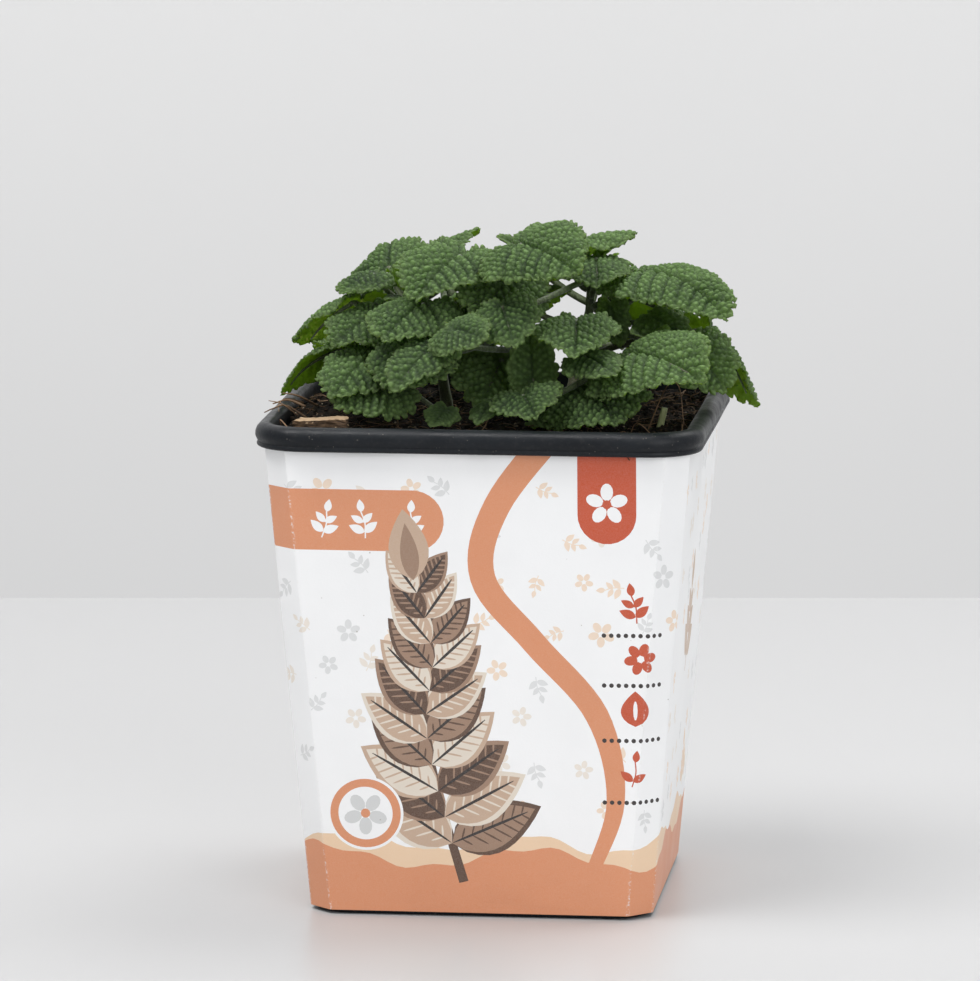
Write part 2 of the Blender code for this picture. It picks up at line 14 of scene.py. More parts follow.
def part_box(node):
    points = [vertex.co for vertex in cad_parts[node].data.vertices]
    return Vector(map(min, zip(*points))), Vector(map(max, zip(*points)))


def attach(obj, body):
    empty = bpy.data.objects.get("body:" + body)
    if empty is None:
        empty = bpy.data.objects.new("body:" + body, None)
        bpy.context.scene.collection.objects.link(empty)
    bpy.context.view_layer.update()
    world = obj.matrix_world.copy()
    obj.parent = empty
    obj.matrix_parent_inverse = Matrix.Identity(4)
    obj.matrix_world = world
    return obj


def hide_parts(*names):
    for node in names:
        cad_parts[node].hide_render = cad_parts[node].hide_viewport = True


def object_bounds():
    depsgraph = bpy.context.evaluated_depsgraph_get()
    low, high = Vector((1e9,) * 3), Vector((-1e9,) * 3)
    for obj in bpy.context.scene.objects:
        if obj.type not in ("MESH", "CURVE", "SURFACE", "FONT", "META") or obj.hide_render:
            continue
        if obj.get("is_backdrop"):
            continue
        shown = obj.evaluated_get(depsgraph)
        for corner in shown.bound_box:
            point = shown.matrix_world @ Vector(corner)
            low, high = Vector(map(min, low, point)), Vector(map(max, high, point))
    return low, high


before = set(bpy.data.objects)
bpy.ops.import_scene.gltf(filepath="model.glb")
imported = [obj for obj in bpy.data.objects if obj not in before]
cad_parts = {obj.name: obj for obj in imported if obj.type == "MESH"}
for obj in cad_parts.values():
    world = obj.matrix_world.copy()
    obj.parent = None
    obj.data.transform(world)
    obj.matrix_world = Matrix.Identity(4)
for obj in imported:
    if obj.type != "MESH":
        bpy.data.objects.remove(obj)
cad_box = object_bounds()
MM = 0.001


# Pot: a square tub moulded in black plastic, tapering to its foot. The rim is turned out and down in a round
# bead with a thin lip under a groove, and the floor is pierced with eight drain holes. The plastic is dusty
# and a little scuffed from the nursery.
POT_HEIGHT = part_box("pot")[1].z / MM
POT_BODY_HALF = 57.4
POT_WARP = 0.25
DRAIN_HOLES = 8
DRAIN_SIDES = 24
POT_INNER_HALF = 56.4
POT_FLOOR = 1.6
POT_CORNER = 11.0
POT_CORNER_STEPS = 10
POT_SIDE_STEPS = 14
# Rows of the section, from the middle of the foot up the outside, over the rim and down the inside: half
# width, height from the table for positive values or down from the top for negative ones
POT_SECTION = (
    (45.7, 0.01),
    (46.4, 0.35),
    (46.7, 1.2),
    (51.0, 58.0),
    (56.8, -7.0),
    (57.1, -2.6),
    (59.0, -2.6),
    (59.2, -6.2),
    (59.6, -6.5),
    (60.5, -6.5),
    (61.0, -6.2),
    (61.1, -5.6),
    (60.8, -5.1),
    (61.1, -4.6),
    (61.5, -3.6),
    (61.45, -2.4),
    (61.1, -1.4),
    (60.5, -0.7),
    (59.6, -0.2),
    (58.6, -0.01),
    (57.7, -0.1),
    (57.0, -0.5),
    (56.5, -1.2),
    (56.35, -4.0),
    (45.9, 2.6),
    (45.0, 1.6),
)
DRAIN_RADIUS = 3.5
DRAIN_REACH = (30.0, 36.0)
PLASTIC_COLOUR = (0.006, 0.0075, 0.010, 1.0)
PLASTIC_WORN = (0.020, 0.024, 0.030, 1.0)
DUST_COLOUR = (0.24, 0.22, 0.19, 1.0)


def add_node(tree, kind, inputs=(), **settings):
    """A node: settings are its properties, and inputs gives each socket a value or another node's socket."""
    node = tree.nodes.new(kind)
    for key, value in settings.items():
        setattr(node, key, value)
    for key, value in dict(inputs).items():
        if isinstance(value, bpy.types.NodeSocket):
            tree.links.new(value, node.inputs[key])
        else:
            node.inputs[key].default_value = value
    return node


def surface_group(name, sockets, outputs):
    """An empty shader node group with a vector input, number inputs and the outputs named."""
    group = bpy.data.node_groups.new(name, "ShaderNodeTree")
    group.interface.new_socket("Vector", in_out="INPUT", socket_type="NodeSocketVector")
    for label, value in sockets.items():
        made = group.interface.new_socket(label, in_out="INPUT", socket_type="NodeSocketFloat")
        made.default_value = value
    for label in outputs:
        group.interface.new_socket(label, in_out="OUTPUT", socket_type="NodeSocketFloat")
    return group, add_node(group, "NodeGroupInput"), add_node(group, "NodeGroupOutput")


def build_mottle():
    """Cloudy variation between Low and High."""
    sockets = {"Scale": 100, "Detail": 4, "Low": 0, "High": 1}
    group, given, result = surface_group("mottle", sockets, ["Value"])
    given = given.outputs
    cloud = add_node(
        group,
        "ShaderNodeTexNoise",
        {"Vector": given["Vector"], "Scale": given["Scale"], "Detail": given["Detail"]},
    )
    spread = add_node(
        group,
        "ShaderNodeMapRange",
        {
            "Value": cloud.outputs["Fac"],
            "From Min": 0.3,
            "From Max": 0.7,
            "To Min": given["Low"],
            "To Max": given["High"],
        },
    )
    group.links.new(spread.outputs["Result"], result.inputs["Value"])
    return group


def build_specks():
    """Small round grains: one cell in every few holds a grain, of its own size."""
    group, given, result = surface_group("specks", {"Scale": 900, "Share": 0.1, "Size": 0.3}, ["Mask"])
    cells = add_node(
        group,
        "ShaderNodeTexVoronoi",
        {"Vector": given.outputs["Vector"], "Scale": given.outputs["Scale"], "Randomness": 1.0},
    )
    pick = add_node(group, "ShaderNodeSeparateColor", {"Color": cells.outputs["Color"]})
    chosen = add_node(
        group, "ShaderNodeMath", {0: pick.outputs[0], 1: given.outputs["Share"]}, operation="LESS_THAN"
    )
    reach = add_node(
        group, "ShaderNodeMath", {0: pick.outputs[1], 1: given.outputs["Size"]}, operation="MULTIPLY"
    )
    inside = add_node(
        group, "ShaderNodeMath", {0: cells.outputs["Distance"], 1: reach.outputs[0]}, operation="LESS_THAN"
    )
    masks = {0: chosen.outputs[0], 1: inside.outputs[0]}
    both = add_node(group, "ShaderNodeMath", masks, operation="MULTIPLY")
    group.links.new(both.outputs[0], result.inputs["Mask"])
    return group


MOTTLE = build_mottle()
SPECKS = build_specks()


class Surface:
    """A material with its Principled shader, object coordinates and short ways to add the shared effects."""

    def __init__(self, name, roughness, **sockets):
        self.material = bpy.data.materials.new(name)
        self.material.use_nodes = True
        self.tree = self.material.node_tree
        self.shader = self.tree.nodes["Principled BSDF"]
        self.output = self.tree.nodes["Material Output"]
        self.shader.inputs["Roughness"].default_value = roughness
        for label, value in sockets.items():
            self.shader.inputs[label.replace("_", " ")].default_value = value
        self.place = add_node(self.tree, "ShaderNodeTexCoord").outputs["Object"]

    def add(self, kind, inputs=(), **settings):
        return add_node(self.tree, kind, inputs, **settings)

    def group(self, group, **inputs):
        node = self.add("ShaderNodeGroup", node_tree=group)
        self.tree.links.new(inputs.pop("Vector", self.place), node.inputs["Vector"])
        for label, value in inputs.items():
            node.inputs[label].default_value = value
        return node.outputs[0]

    def stretched(self, scale):
        return self.add("ShaderNodeMapping", {"Vector": self.place, "Scale": scale}).outputs[0]

    def attribute(self, name, socket="Fac"):
        return self.add("ShaderNodeAttribute", attribute_name=name).outputs[socket]

    def mix(self, factor, first, second, blend="MIX"):
        """Colours first and second mixed by a factor."""
        node = self.add("ShaderNodeMix", data_type="RGBA", blend_type=blend, clamp_factor=True)
        for socket, value in ((node.inputs[0], factor), (node.inputs[6], first), (node.inputs[7], second)):
            if isinstance(value, bpy.types.NodeSocket):
                self.tree.links.new(value, socket)
            else:
                socket.default_value = value
        return node.outputs[2]

    def maths(self, operation, first, second):
        return self.add("ShaderNodeMath", {0: first, 1: second}, operation=operation).outputs[0]

    def wire(self, **sockets):
        """Feeds the shader's inputs."""
        for label, value in sockets.items():
            self.tree.links.new(value, self.shader.inputs[label.replace("_", " ")])

    def bump(self, *layers):
        """Bump from pairs of height and depth in millimetres, the last on top."""
        normal = None
        for height, depth in layers:
            inputs = {"Height": height, "Strength": 1.0, "Distance": depth * MM}
            if normal:
                inputs["Normal"] = normal
            normal = self.add("ShaderNodeBump", inputs).outputs["Normal"]
        self.wire(Normal=normal)
        return normal


def streaky(name, dark, light, scale, detail, rough, depth, stretch=(1, 1, 1), fine=None, **sockets):
    """A matt natural material in streaks of two colours, bumped by them or by a finer grain."""
    made = Surface(name, 0.8, **sockets)
    cloud = made.group(MOTTLE, Vector=made.stretched(stretch), Scale=scale, Detail=detail, Low=0, High=1)
    grain = made.group(MOTTLE, Scale=fine, Detail=3, Low=0, High=1) if fine else cloud
    rough_scale, low, high = rough
    made.wire(
        Base_Color=made.mix(cloud, (*dark, 1.0), (*light, 1.0)),
        Roughness=made.group(MOTTLE, Scale=rough_scale, Detail=3, Low=low, High=high),
    )
    made.bump((grain, depth))
    return made.material


def build_piece(name, points, faces, materials, smooth=True, face_material=None):
    """A piece from points in millimetres."""
    mesh = bpy.data.meshes.new(name)
    mesh.from_pydata((np.asarray(points, float) * MM).tolist(), [], faces)
    for material in materials:
        mesh.materials.append(material)
    if face_material is not None:
        mesh.polygons.foreach_set("material_index", np.asarray(face_material, np.int32))
    if smooth:
        mesh.shade_smooth()
    mesh.update()
    piece = bpy.data.objects.new(name, mesh)
    bpy.context.scene.collection.objects.link(piece)
    return piece


def bridge(faces, first, second, count):
    """Quads from one ring of points to the next ring out."""
    for i in range(count):
        j = (i + 1) % count
        faces.append((first + i, first + j, second + j, second + i))


def rounded_square(half, radius, z, corner_steps, side_steps):
    """Anticlockwise ring of a square with round corners, its sides split into equal lengths."""
    corners = []
    for corner in range(4):
        turn = math.pi / 2 * corner
        centre = Matrix.Rotation(turn, 2) @ Vector((half - radius, half - radius))
        for step in range(corner_steps):
            angle = turn + math.pi / 2 * step / (corner_steps - 1)
            corners.append((centre.x + radius * math.cos(angle), centre.y + radius * math.sin(angle)))
    ring = []
    for i, (x, y) in enumerate(corners):
        end_x, end_y = corners[(i + 1) % len(corners)]
        pieces = side_steps if i % corner_steps == corner_steps - 1 else 1
        for piece in range(pieces):
            share = piece / pieces
            ring.append((x + (end_x - x) * share, y + (end_y - y) * share, z))
    return ring


def build_pot():
    points, faces = [], []
    count = 4 * (POT_CORNER_STEPS - 1 + POT_SIDE_STEPS)
    for half, level in POT_SECTION:
        z = level if level > 0 else POT_HEIGHT + level
        corner = POT_CORNER + max(half - POT_BODY_HALF, 0)
        for x, y, height in rounded_square(half, corner, z, POT_CORNER_STEPS, POT_SIDE_STEPS):
            warp = noise.noise(Vector((x, y, height)) * 0.03) * POT_WARP * min(1.0, z / 60)
            points.append((x + warp * x / half, y + warp * y / half, height))
    for ring in range(len(POT_SECTION) - 1):
        bridge(faces, ring * count, (ring + 1) * count, count)
    faces.append(tuple(reversed(range(count))))
    last = (len(POT_SECTION) - 1) * count
    faces.append(tuple(range(last, last + count)))
    pot = build_piece("pot_shell", points, faces, [black_plastic()])
    pegs, peg_faces = [], []
    for turn in range(DRAIN_HOLES):
        angle = math.tau * turn / DRAIN_HOLES
        reach = DRAIN_REACH[turn % 2]
        first = len(pegs)
        for z in (-1.0, POT_FLOOR + 2.0):
            for side in range(DRAIN_SIDES):
                around = math.tau * side / DRAIN_SIDES
                x = reach * math.cos(angle) + DRAIN_RADIUS * math.cos(around)
                y = reach * math.sin(angle) + DRAIN_RADIUS * math.sin(around)
                pegs.append((x, y, z))
        top = first + DRAIN_SIDES
        bridge(peg_faces, first, top, DRAIN_SIDES)
        peg_faces += [tuple(reversed(range(first, top))), tuple(range(top, top + DRAIN_SIDES))]
    cutter = build_piece("drain_pegs", pegs, peg_faces, [])
    cut = pot.modifiers.new("drain_holes", "BOOLEAN")
    cut.operation = "DIFFERENCE"
    cut.object = cutter
    settle(pot)
    bpy.data.objects.remove(cutter)
    pot.data.set_sharp_from_angle(angle=math.radians(50))
    return pot


def settle(piece):
    """Turns the piece's modifiers into plain mesh."""
    graph = bpy.context.evaluated_depsgraph_get()
    piece.data = bpy.data.meshes.new_from_object(piece.evaluated_get(graph))
    piece.modifiers.clear()


def black_plastic():
    plastic = Surface("black_plastic", 0.4, Specular_IOR_Level=0.24)
    cloud = plastic.group(MOTTLE, Scale=60, Detail=5, Low=0, High=1)
    scuffs = plastic.group(
        MOTTLE, Vector=plastic.stretched((1.0, 1.0, 9.0)), Scale=260, Detail=3, Low=-0.6, High=1
    )
    body = plastic.mix(cloud, PLASTIC_COLOUR, (0.010, 0.0125, 0.016, 1.0))
    body = plastic.mix(plastic.maths("MULTIPLY", scuffs, 0.10), body, PLASTIC_WORN)
    grains = plastic.group(SPECKS, Scale=420, Share=0.035, Size=0.16)
    specks = plastic.group(SPECKS, Scale=1300, Share=0.12, Size=0.28)
    film = plastic.group(MOTTLE, Scale=900, Detail=6, Low=-0.04, High=0.03)
    dust = plastic.maths("MAXIMUM", grains, plastic.maths("MULTIPLY", specks, 0.35))
    level = plastic.maths("MAXIMUM", dust, film)
    plastic.wire(
        Base_Color=plastic.mix(level, body, DUST_COLOUR),
        Roughness=plastic.group(MOTTLE, Scale=180, Detail=6, Low=0.30, High=0.52),
    )
    plastic.bump(
        (plastic.group(MOTTLE, Scale=2200, Detail=2, Low=0, High=1), 0.03),
        (plastic.group(MOTTLE, Scale=140, Detail=3, Low=0, High=1), 0.08),
        (level, 0.12),
    )
    return plastic.material


pot_shell = build_pot()
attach(pot_shell, "root")
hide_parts("pot")


# Sleeve: one strip of coated white card, printed, creased on eight fold lines into four panels with narrow
# flats between them, and glued in a lap down the back. It slides up round the pot to just under the rim.
SLEEVE_LOW_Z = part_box("sleeve")[0].z / MM
SLEEVE_HIGH_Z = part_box("sleeve")[1].z / MM
SLEEVE_LOW_HALF = 47.5
SLEEVE_HIGH_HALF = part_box("sleeve")[1].x / MM
SLEEVE_FLAT = 6.3
SLEEVE_CARD = 0.45
LAP_FROM_X = 20.0
LAP_TO_X = 34.0
LAP_STEP = 0.47
LAP_RISE_FROM = 2.4
LAP_RISE_TO = 0.4
CREASE_HALF = 0.8
CARD_GRID = 6.0
CARD_BOW = 0.30
CARD_WAVE = 0.22
CREASE_SINK = 0.11
CARD_WHITE = (0.93, 0.935, 0.94)
PRINT_ORANGE = (0.71, 0.29, 0.145)
PRINT_RUST = (0.56, 0.085, 0.028)
PRINT_PEACH = (0.85, 0.62, 0.42)
PRINT_SAND = (0.80, 0.71, 0.60)
PRINT_MIST = (0.66, 0.67, 0.67)
PRINT_TAUPE = (0.34, 0.215, 0.145)
PRINT_FAWN = (0.56, 0.40, 0.29)
PRINT_CREAM = (0.76, 0.68, 0.58)
PRINT_BROWN = (0.115, 0.062, 0.038)
PRINT_INK = (0.028, 0.021, 0.019)


def card_half(z):
    share = (z - SLEEVE_LOW_Z) / (SLEEVE_HIGH_Z - SLEEVE_LOW_Z)
    return SLEEVE_LOW_HALF + (SLEEVE_HIGH_HALF - SLEEVE_LOW_HALF) * share


def card_folds(z):
    """Distances round the strip, from the middle of the front, of its four fold lines on one side."""
    flat = card_half(z) - SLEEVE_FLAT
    slant = SLEEVE_FLAT * math.sqrt(2)
    return flat, flat + slant, 3 * flat + slant, 3 * flat + 2 * slant


def card_end(z, side):
    """Distance round the strip of its end at the back: the right end lies under the left one."""
    flat, *_, last = card_folds(z)
    return last + flat - LAP_FROM_X if side > 0 else -(last + flat + LAP_TO_X)


def card_place(s, z, lift):
    """The place of the card's printed face at a distance s round the strip."""
    half, side, away = card_half(z), math.copysign(1.0, s), abs(s)
    flat = half - SLEEVE_FLAT
    first, second, third, fourth = card_folds(z)
    diagonal = math.sqrt(0.5)
    if away <= first:
        x, y, out = away, -half, (0.0, -1.0)
    elif away <= second:
        step = (away - first) * diagonal
        x, y, out = flat + step, -half + step, (diagonal, -diagonal)
    elif away <= third:
        x, y, out = half, -flat + away - second, (1.0, 0.0)
    elif away <= fourth:
        step = (away - third) * diagonal
        x, y, out = half - step, flat + step, (diagonal, diagonal)
    else:
        x, y, out = flat - (away - fourth), half, (0.0, 1.0)
    x, normal_x = x * side, out[0] * side
    if side < 0 and y == half:
        climb = (x - LAP_FROM_X + LAP_RISE_FROM) / (LAP_RISE_FROM - LAP_RISE_TO)
        lift += LAP_STEP * min(max(climb, 0.0), 1.0)
    return x + normal_x * lift, y + out[1] * lift, z


def card_lift(s, z):
    """How far the card stands off its flat panels: creases are rounded and panels bow a little."""
    folds = card_folds(z)
    near = min(abs(abs(s) - fold) for fold in folds)
    high = (z - SLEEVE_LOW_Z) / (SLEEVE_HIGH_Z - SLEEVE_LOW_Z)
    bow = CARD_BOW * math.sin(math.pi * high) * min(1.0, near / 14)
    wave = CARD_WAVE * noise.noise(Vector((s * 0.035, z * 0.022, 3.0))) * min(1.0, near / 4)
    return bow + wave - CREASE_SINK * max(0.0, 1 - near / CREASE_HALF)


def turned(outline, x, z, angle=0.0):
    """A flat outline turned and moved to x, z."""
    turn = math.radians(angle)
    cos, sin = math.cos(turn), math.sin(turn)
    return [(x + (u * cos - v * sin), z + (u * sin + v * cos)) for u, v in outline]


def ellipse(width, height, steps=28):
    return [
        (width / 2 * math.cos(math.tau * i / steps), height / 2 * math.sin(math.tau * i / steps))
        for i in range(steps)
    ]


def leaf_shape(length, width):
    """A pointed leaf standing on its joint."""
    side, steps = [], 11
    for i in range(steps):
        share = i / (steps - 1)
        side.append((width / 2 * math.sin(math.pi * share**0.8) ** 0.9, length * share))
    return side + [(-u, v) for u, v in reversed(side[1:-1])]


def ribbon(path, widths):
    """A band that follows a path of points."""
    left, right = [], []
    for i, (x, z) in enumerate(path):
        ahead, behind = path[min(i + 1, len(path) - 1)], path[max(i - 1, 0)]
        run, climb = ahead[0] - behind[0], ahead[1] - behind[1]
        size = math.hypot(run, climb)
        across = (-climb / size * widths[i] / 2, run / size * widths[i] / 2)
        left.append((x + across[0], z + across[1]))
        right.append((x - across[0], z - across[1]))
    return right + left[::-1]


def smooth_path(knots, steps):
    """Points along a smooth curve through the knots."""
    knots = [np.array(knot, float) for knot in knots]
    padded = [2 * knots[0] - knots[1], *knots, 2 * knots[-1] - knots[-2]]
    path = []
    for before, start, end, after in zip(padded, padded[1:], padded[2:], padded[3:]):
        for t in np.arange(steps) / steps:
            square = (2 * before - 5 * start + 4 * end - after) * t**2
            cube = (3 * start - before - 3 * end + after) * t**3
            path.append(0.5 * (2 * start + (end - before) * t + square + cube))
    path.append(knots[-1])
    return path


def blossom(x, z, size, angle, petals, colour, middle=None):
    """A flower of round petals seen from above."""
    shapes = []
    for petal in range(petals):
        turn = angle + 360 * petal / petals
        centre_x = x + size * 0.3 * math.sin(math.radians(turn))
        centre_z = z + size * 0.3 * math.cos(math.radians(turn))
        shapes.append((turned(ellipse(size * 0.30, size * 0.42, 14), centre_x, centre_z, -turn), colour))
    if middle:
        shapes.append((turned(ellipse(size * 0.22, size * 0.22, 12), x, z), middle))
    return shapes


def sprig(x, z, size, angle, pairs, colour, vein=None):
    """A twig with pairs of leaves and one at its tip."""
    turn = math.radians(angle)
    shapes = []
    path = smooth_path([(0, 0), (size * 0.05, size * 0.4), (-size * 0.02, size * 0.75)], 4)
    path = turned(path, x, z, angle)
    shapes.append((ribbon(path, [size * 0.035] * len(path)), colour))
    for pair in range(pairs):
        up = size * (0.16 + 0.52 * pair / pairs)
        joint_x, joint_z = x - up * math.sin(turn), z + up * math.cos(turn)
        length = size * (0.44 - 0.08 * pair)
        for side in (-1, 1):
            lean = angle - side * (58 - 6 * pair)
            shapes.append((turned(leaf_shape(length, length * 0.52), joint_x, joint_z, lean), colour))
            if vein:
                line = turned(ellipse(length * 0.045, length * 0.7, 10), 0, length * 0.45)
                shapes.append((turned(line, joint_x, joint_z, lean), vein))
    tip_x, tip_z = x - size * 0.7 * math.sin(turn), z + size * 0.7 * math.cos(turn)
    shapes.append((turned(leaf_shape(size * 0.34, size * 0.2), tip_x, tip_z, angle), colour))
    return shapes


def printed_shapes():
    """Every printed shape as an outline round the strip and its colour, the lowest layer first."""
    shapes = []
    rng = np.random.default_rng(7)
    # Faint blossoms and sprigs scattered over the white ground
    for row in range(8):
        for column in range(-19, 20):
            x = column * 11.5 + (row % 2) * 5.5 + rng.uniform(-1.5, 1.5)
            z = 30 + row * 13 + rng.uniform(-2, 2)
            angle = rng.uniform(0, 360)
            tint = (PRINT_SAND, PRINT_MIST, PRINT_PEACH)[rng.integers(3)]
            shade = tuple(0.7 * a + 0.3 * b for a, b in zip(tint, CARD_WHITE))
            if rng.uniform() < 0.30:
                continue
            if (row + column) % 2:
                shapes += blossom(x, z, rng.uniform(5.0, 7.5), angle, 5, shade, CARD_WHITE)
            else:
                shapes += sprig(x, z, rng.uniform(6.0, 8.5), angle, 2, shade)
    # Ground strip of rolling hills along the bottom, all the way round
    for colour, level, swell, pitch in ((PRINT_PEACH, 21.5, 2.6, 47.0), (PRINT_ORANGE, 17.0, 3.0, 61.0)):
        crest = [
            (s, level + swell * math.sin(math.tau * s / pitch) + 0.8 * math.sin(math.tau * s / 17.0))
            for s in np.arange(-290, 291, 2.5)
        ]
        shapes.append(([(-290, -6), *reversed([(290, -6), *reversed(crest)])], colour))
    # Ribbon rising from the hills at the right, swinging left and leaving over the top
    knots = [(31, 12), (38, 34), (33, 58), (16, 78), (2, 96), (6, 116), (24, 140)]
    path = smooth_path(knots, 8)
    widths = np.interp(np.arange(len(path)), [0, 16, len(path) - 1], [3.5, 6.5, 7.5])
    shapes.append((ribbon([tuple(point) for point in path], widths), PRINT_ORANGE))
    # Long label along the top left, with three leaves in it
    label = [(-75, 103), (-17, 103)] + [
        (-17 + 8.5 * math.sin(a), 111.5 - 8.5 * math.cos(a)) for a in np.linspace(0.15, 3.0, 14)
    ]
    shapes.append((label + [(-17, 120), (-75, 120)], PRINT_ORANGE))
    for step in range(3):
        shapes += sprig(-42 + 12 * step, 106.5, 10.5, (-12, 8, -4)[step], 2, CARD_WHITE)
    # Rust-coloured tab hanging from the top edge at the right, with a blossom
    tab = [(28, 140), (28, 114)] + [
        (36 - 8 * math.cos(a), 114 - 8 * math.sin(a)) for a in np.linspace(0.2, math.pi - 0.2, 12)
    ]
    shapes.append((tab + [(44, 114), (44, 140)], PRINT_RUST))
    shapes += blossom(36, 117, 11.5, 0, 5, CARD_WHITE, PRINT_RUST)
    # Column of small rust-coloured pictures down the right
    shapes += sprig(44, 84, 11, 10, 2, PRINT_RUST)
    shapes += blossom(45, 74, 9, 20, 6, PRINT_RUST, CARD_WHITE)
    shapes.append((turned(leaf_shape(10, 8), 43.5, 55, 0), PRINT_RUST))
    shapes.append((turned(ellipse(1.2, 5.5, 10), 43.5, 59.5, 0), CARD_WHITE))
    shapes += sprig(42.5, 38, 10, -8, 1, PRINT_RUST)
    for level in (80.5, 66.5, 51.0, 33.5):
        for dot in range(-4, 5):
            shapes.append((turned(ellipse(1.3, 1.3, 8), 43 + 2.0 * dot, level), PRINT_INK))
    # Large leafy branch in browns filling the left and middle of the front
    branch = [tuple(p) for p in smooth_path([(-4, 10), (-10, 32), (-14, 54), (-12, 74), (-17, 95)], 6)]
    tones = (PRINT_TAUPE, PRINT_FAWN, PRINT_BROWN, PRINT_CREAM)
    shapes.append((ribbon(branch, np.linspace(2.6, 1.0, len(branch))), PRINT_BROWN))
    for step, (x, z) in enumerate(branch[3:-1:2]):
        size = 27 - 1.25 * step
        for side in (-1, 1):
            angle = side * (62 - 3 * step) + rng.uniform(-8, 8)
            tone = tones[(step + (side > 0)) % 4]
            edge = tones[(step + (side > 0) + 2) % 4]
            shapes.append((turned(leaf_shape(size, size * 0.56), x, z, angle), edge))
            shapes.append((turned(leaf_shape(size * 0.93, size * 0.46), x, z, angle), tone))
            turn = math.radians(angle)
            for rib in range(1, 8):
                along = size * rib / 9
                foot_x, foot_z = x - along * math.sin(turn), z + along * math.cos(turn)
                for way in (-1, 1):
                    width = 0.5 * size * math.sin(math.pi * (rib / 9) ** 0.8) * 0.5
                    line = turned(ellipse(0.55, width, 8), 0, width / 2)
                    shapes.append((turned(line, foot_x, foot_z, angle + way * 52), edge))
            line = turned(ellipse(0.8, size * 0.86, 14), 0, size * 0.43)
            shapes.append((turned(line, x, z, angle), PRINT_INK))
    shapes.append((turned(leaf_shape(20, 11), *branch[-1], 8), PRINT_FAWN))
    shapes.append((turned(leaf_shape(16, 5), *branch[-1], 8), PRINT_TAUPE))
    # Round badge with an orange ring low on the left, and its mirror image on the back
    for x in (-31, 218):
        for size, colour in ((21, CARD_WHITE), (19.5, PRINT_ORANGE), (15, CARD_WHITE)):
            shapes.append((turned(ellipse(size, size, 48), x, 29), colour))
        shapes += blossom(x, 29, 12, 36, 5, PRINT_MIST, PRINT_ORANGE)
    # Larger sprigs on the side panels and the back
    for x, z, size, angle, tone in (
        (98, 62, 34, -10, PRINT_FAWN),
        (-96, 60, 36, 12, PRINT_TAUPE),
        (120, 24, 18, 14, PRINT_PEACH),
        (176, 66, 40, 6, PRINT_FAWN),
        (-178, 58, 42, -8, PRINT_TAUPE),
        (-122, 26, 20, -16, PRINT_PEACH),
    ):
        shapes += sprig(x, z, size, angle, 3, tone, PRINT_CREAM)
    return shapes


def turns_right(outline):
    """True for an outline that runs clockwise."""
    turning = 0.0
    for (ax, az), (bx, bz) in zip(outline, [*outline[1:], outline[0]]):
        turning += ax * bz - bx * az
    return turning < 0


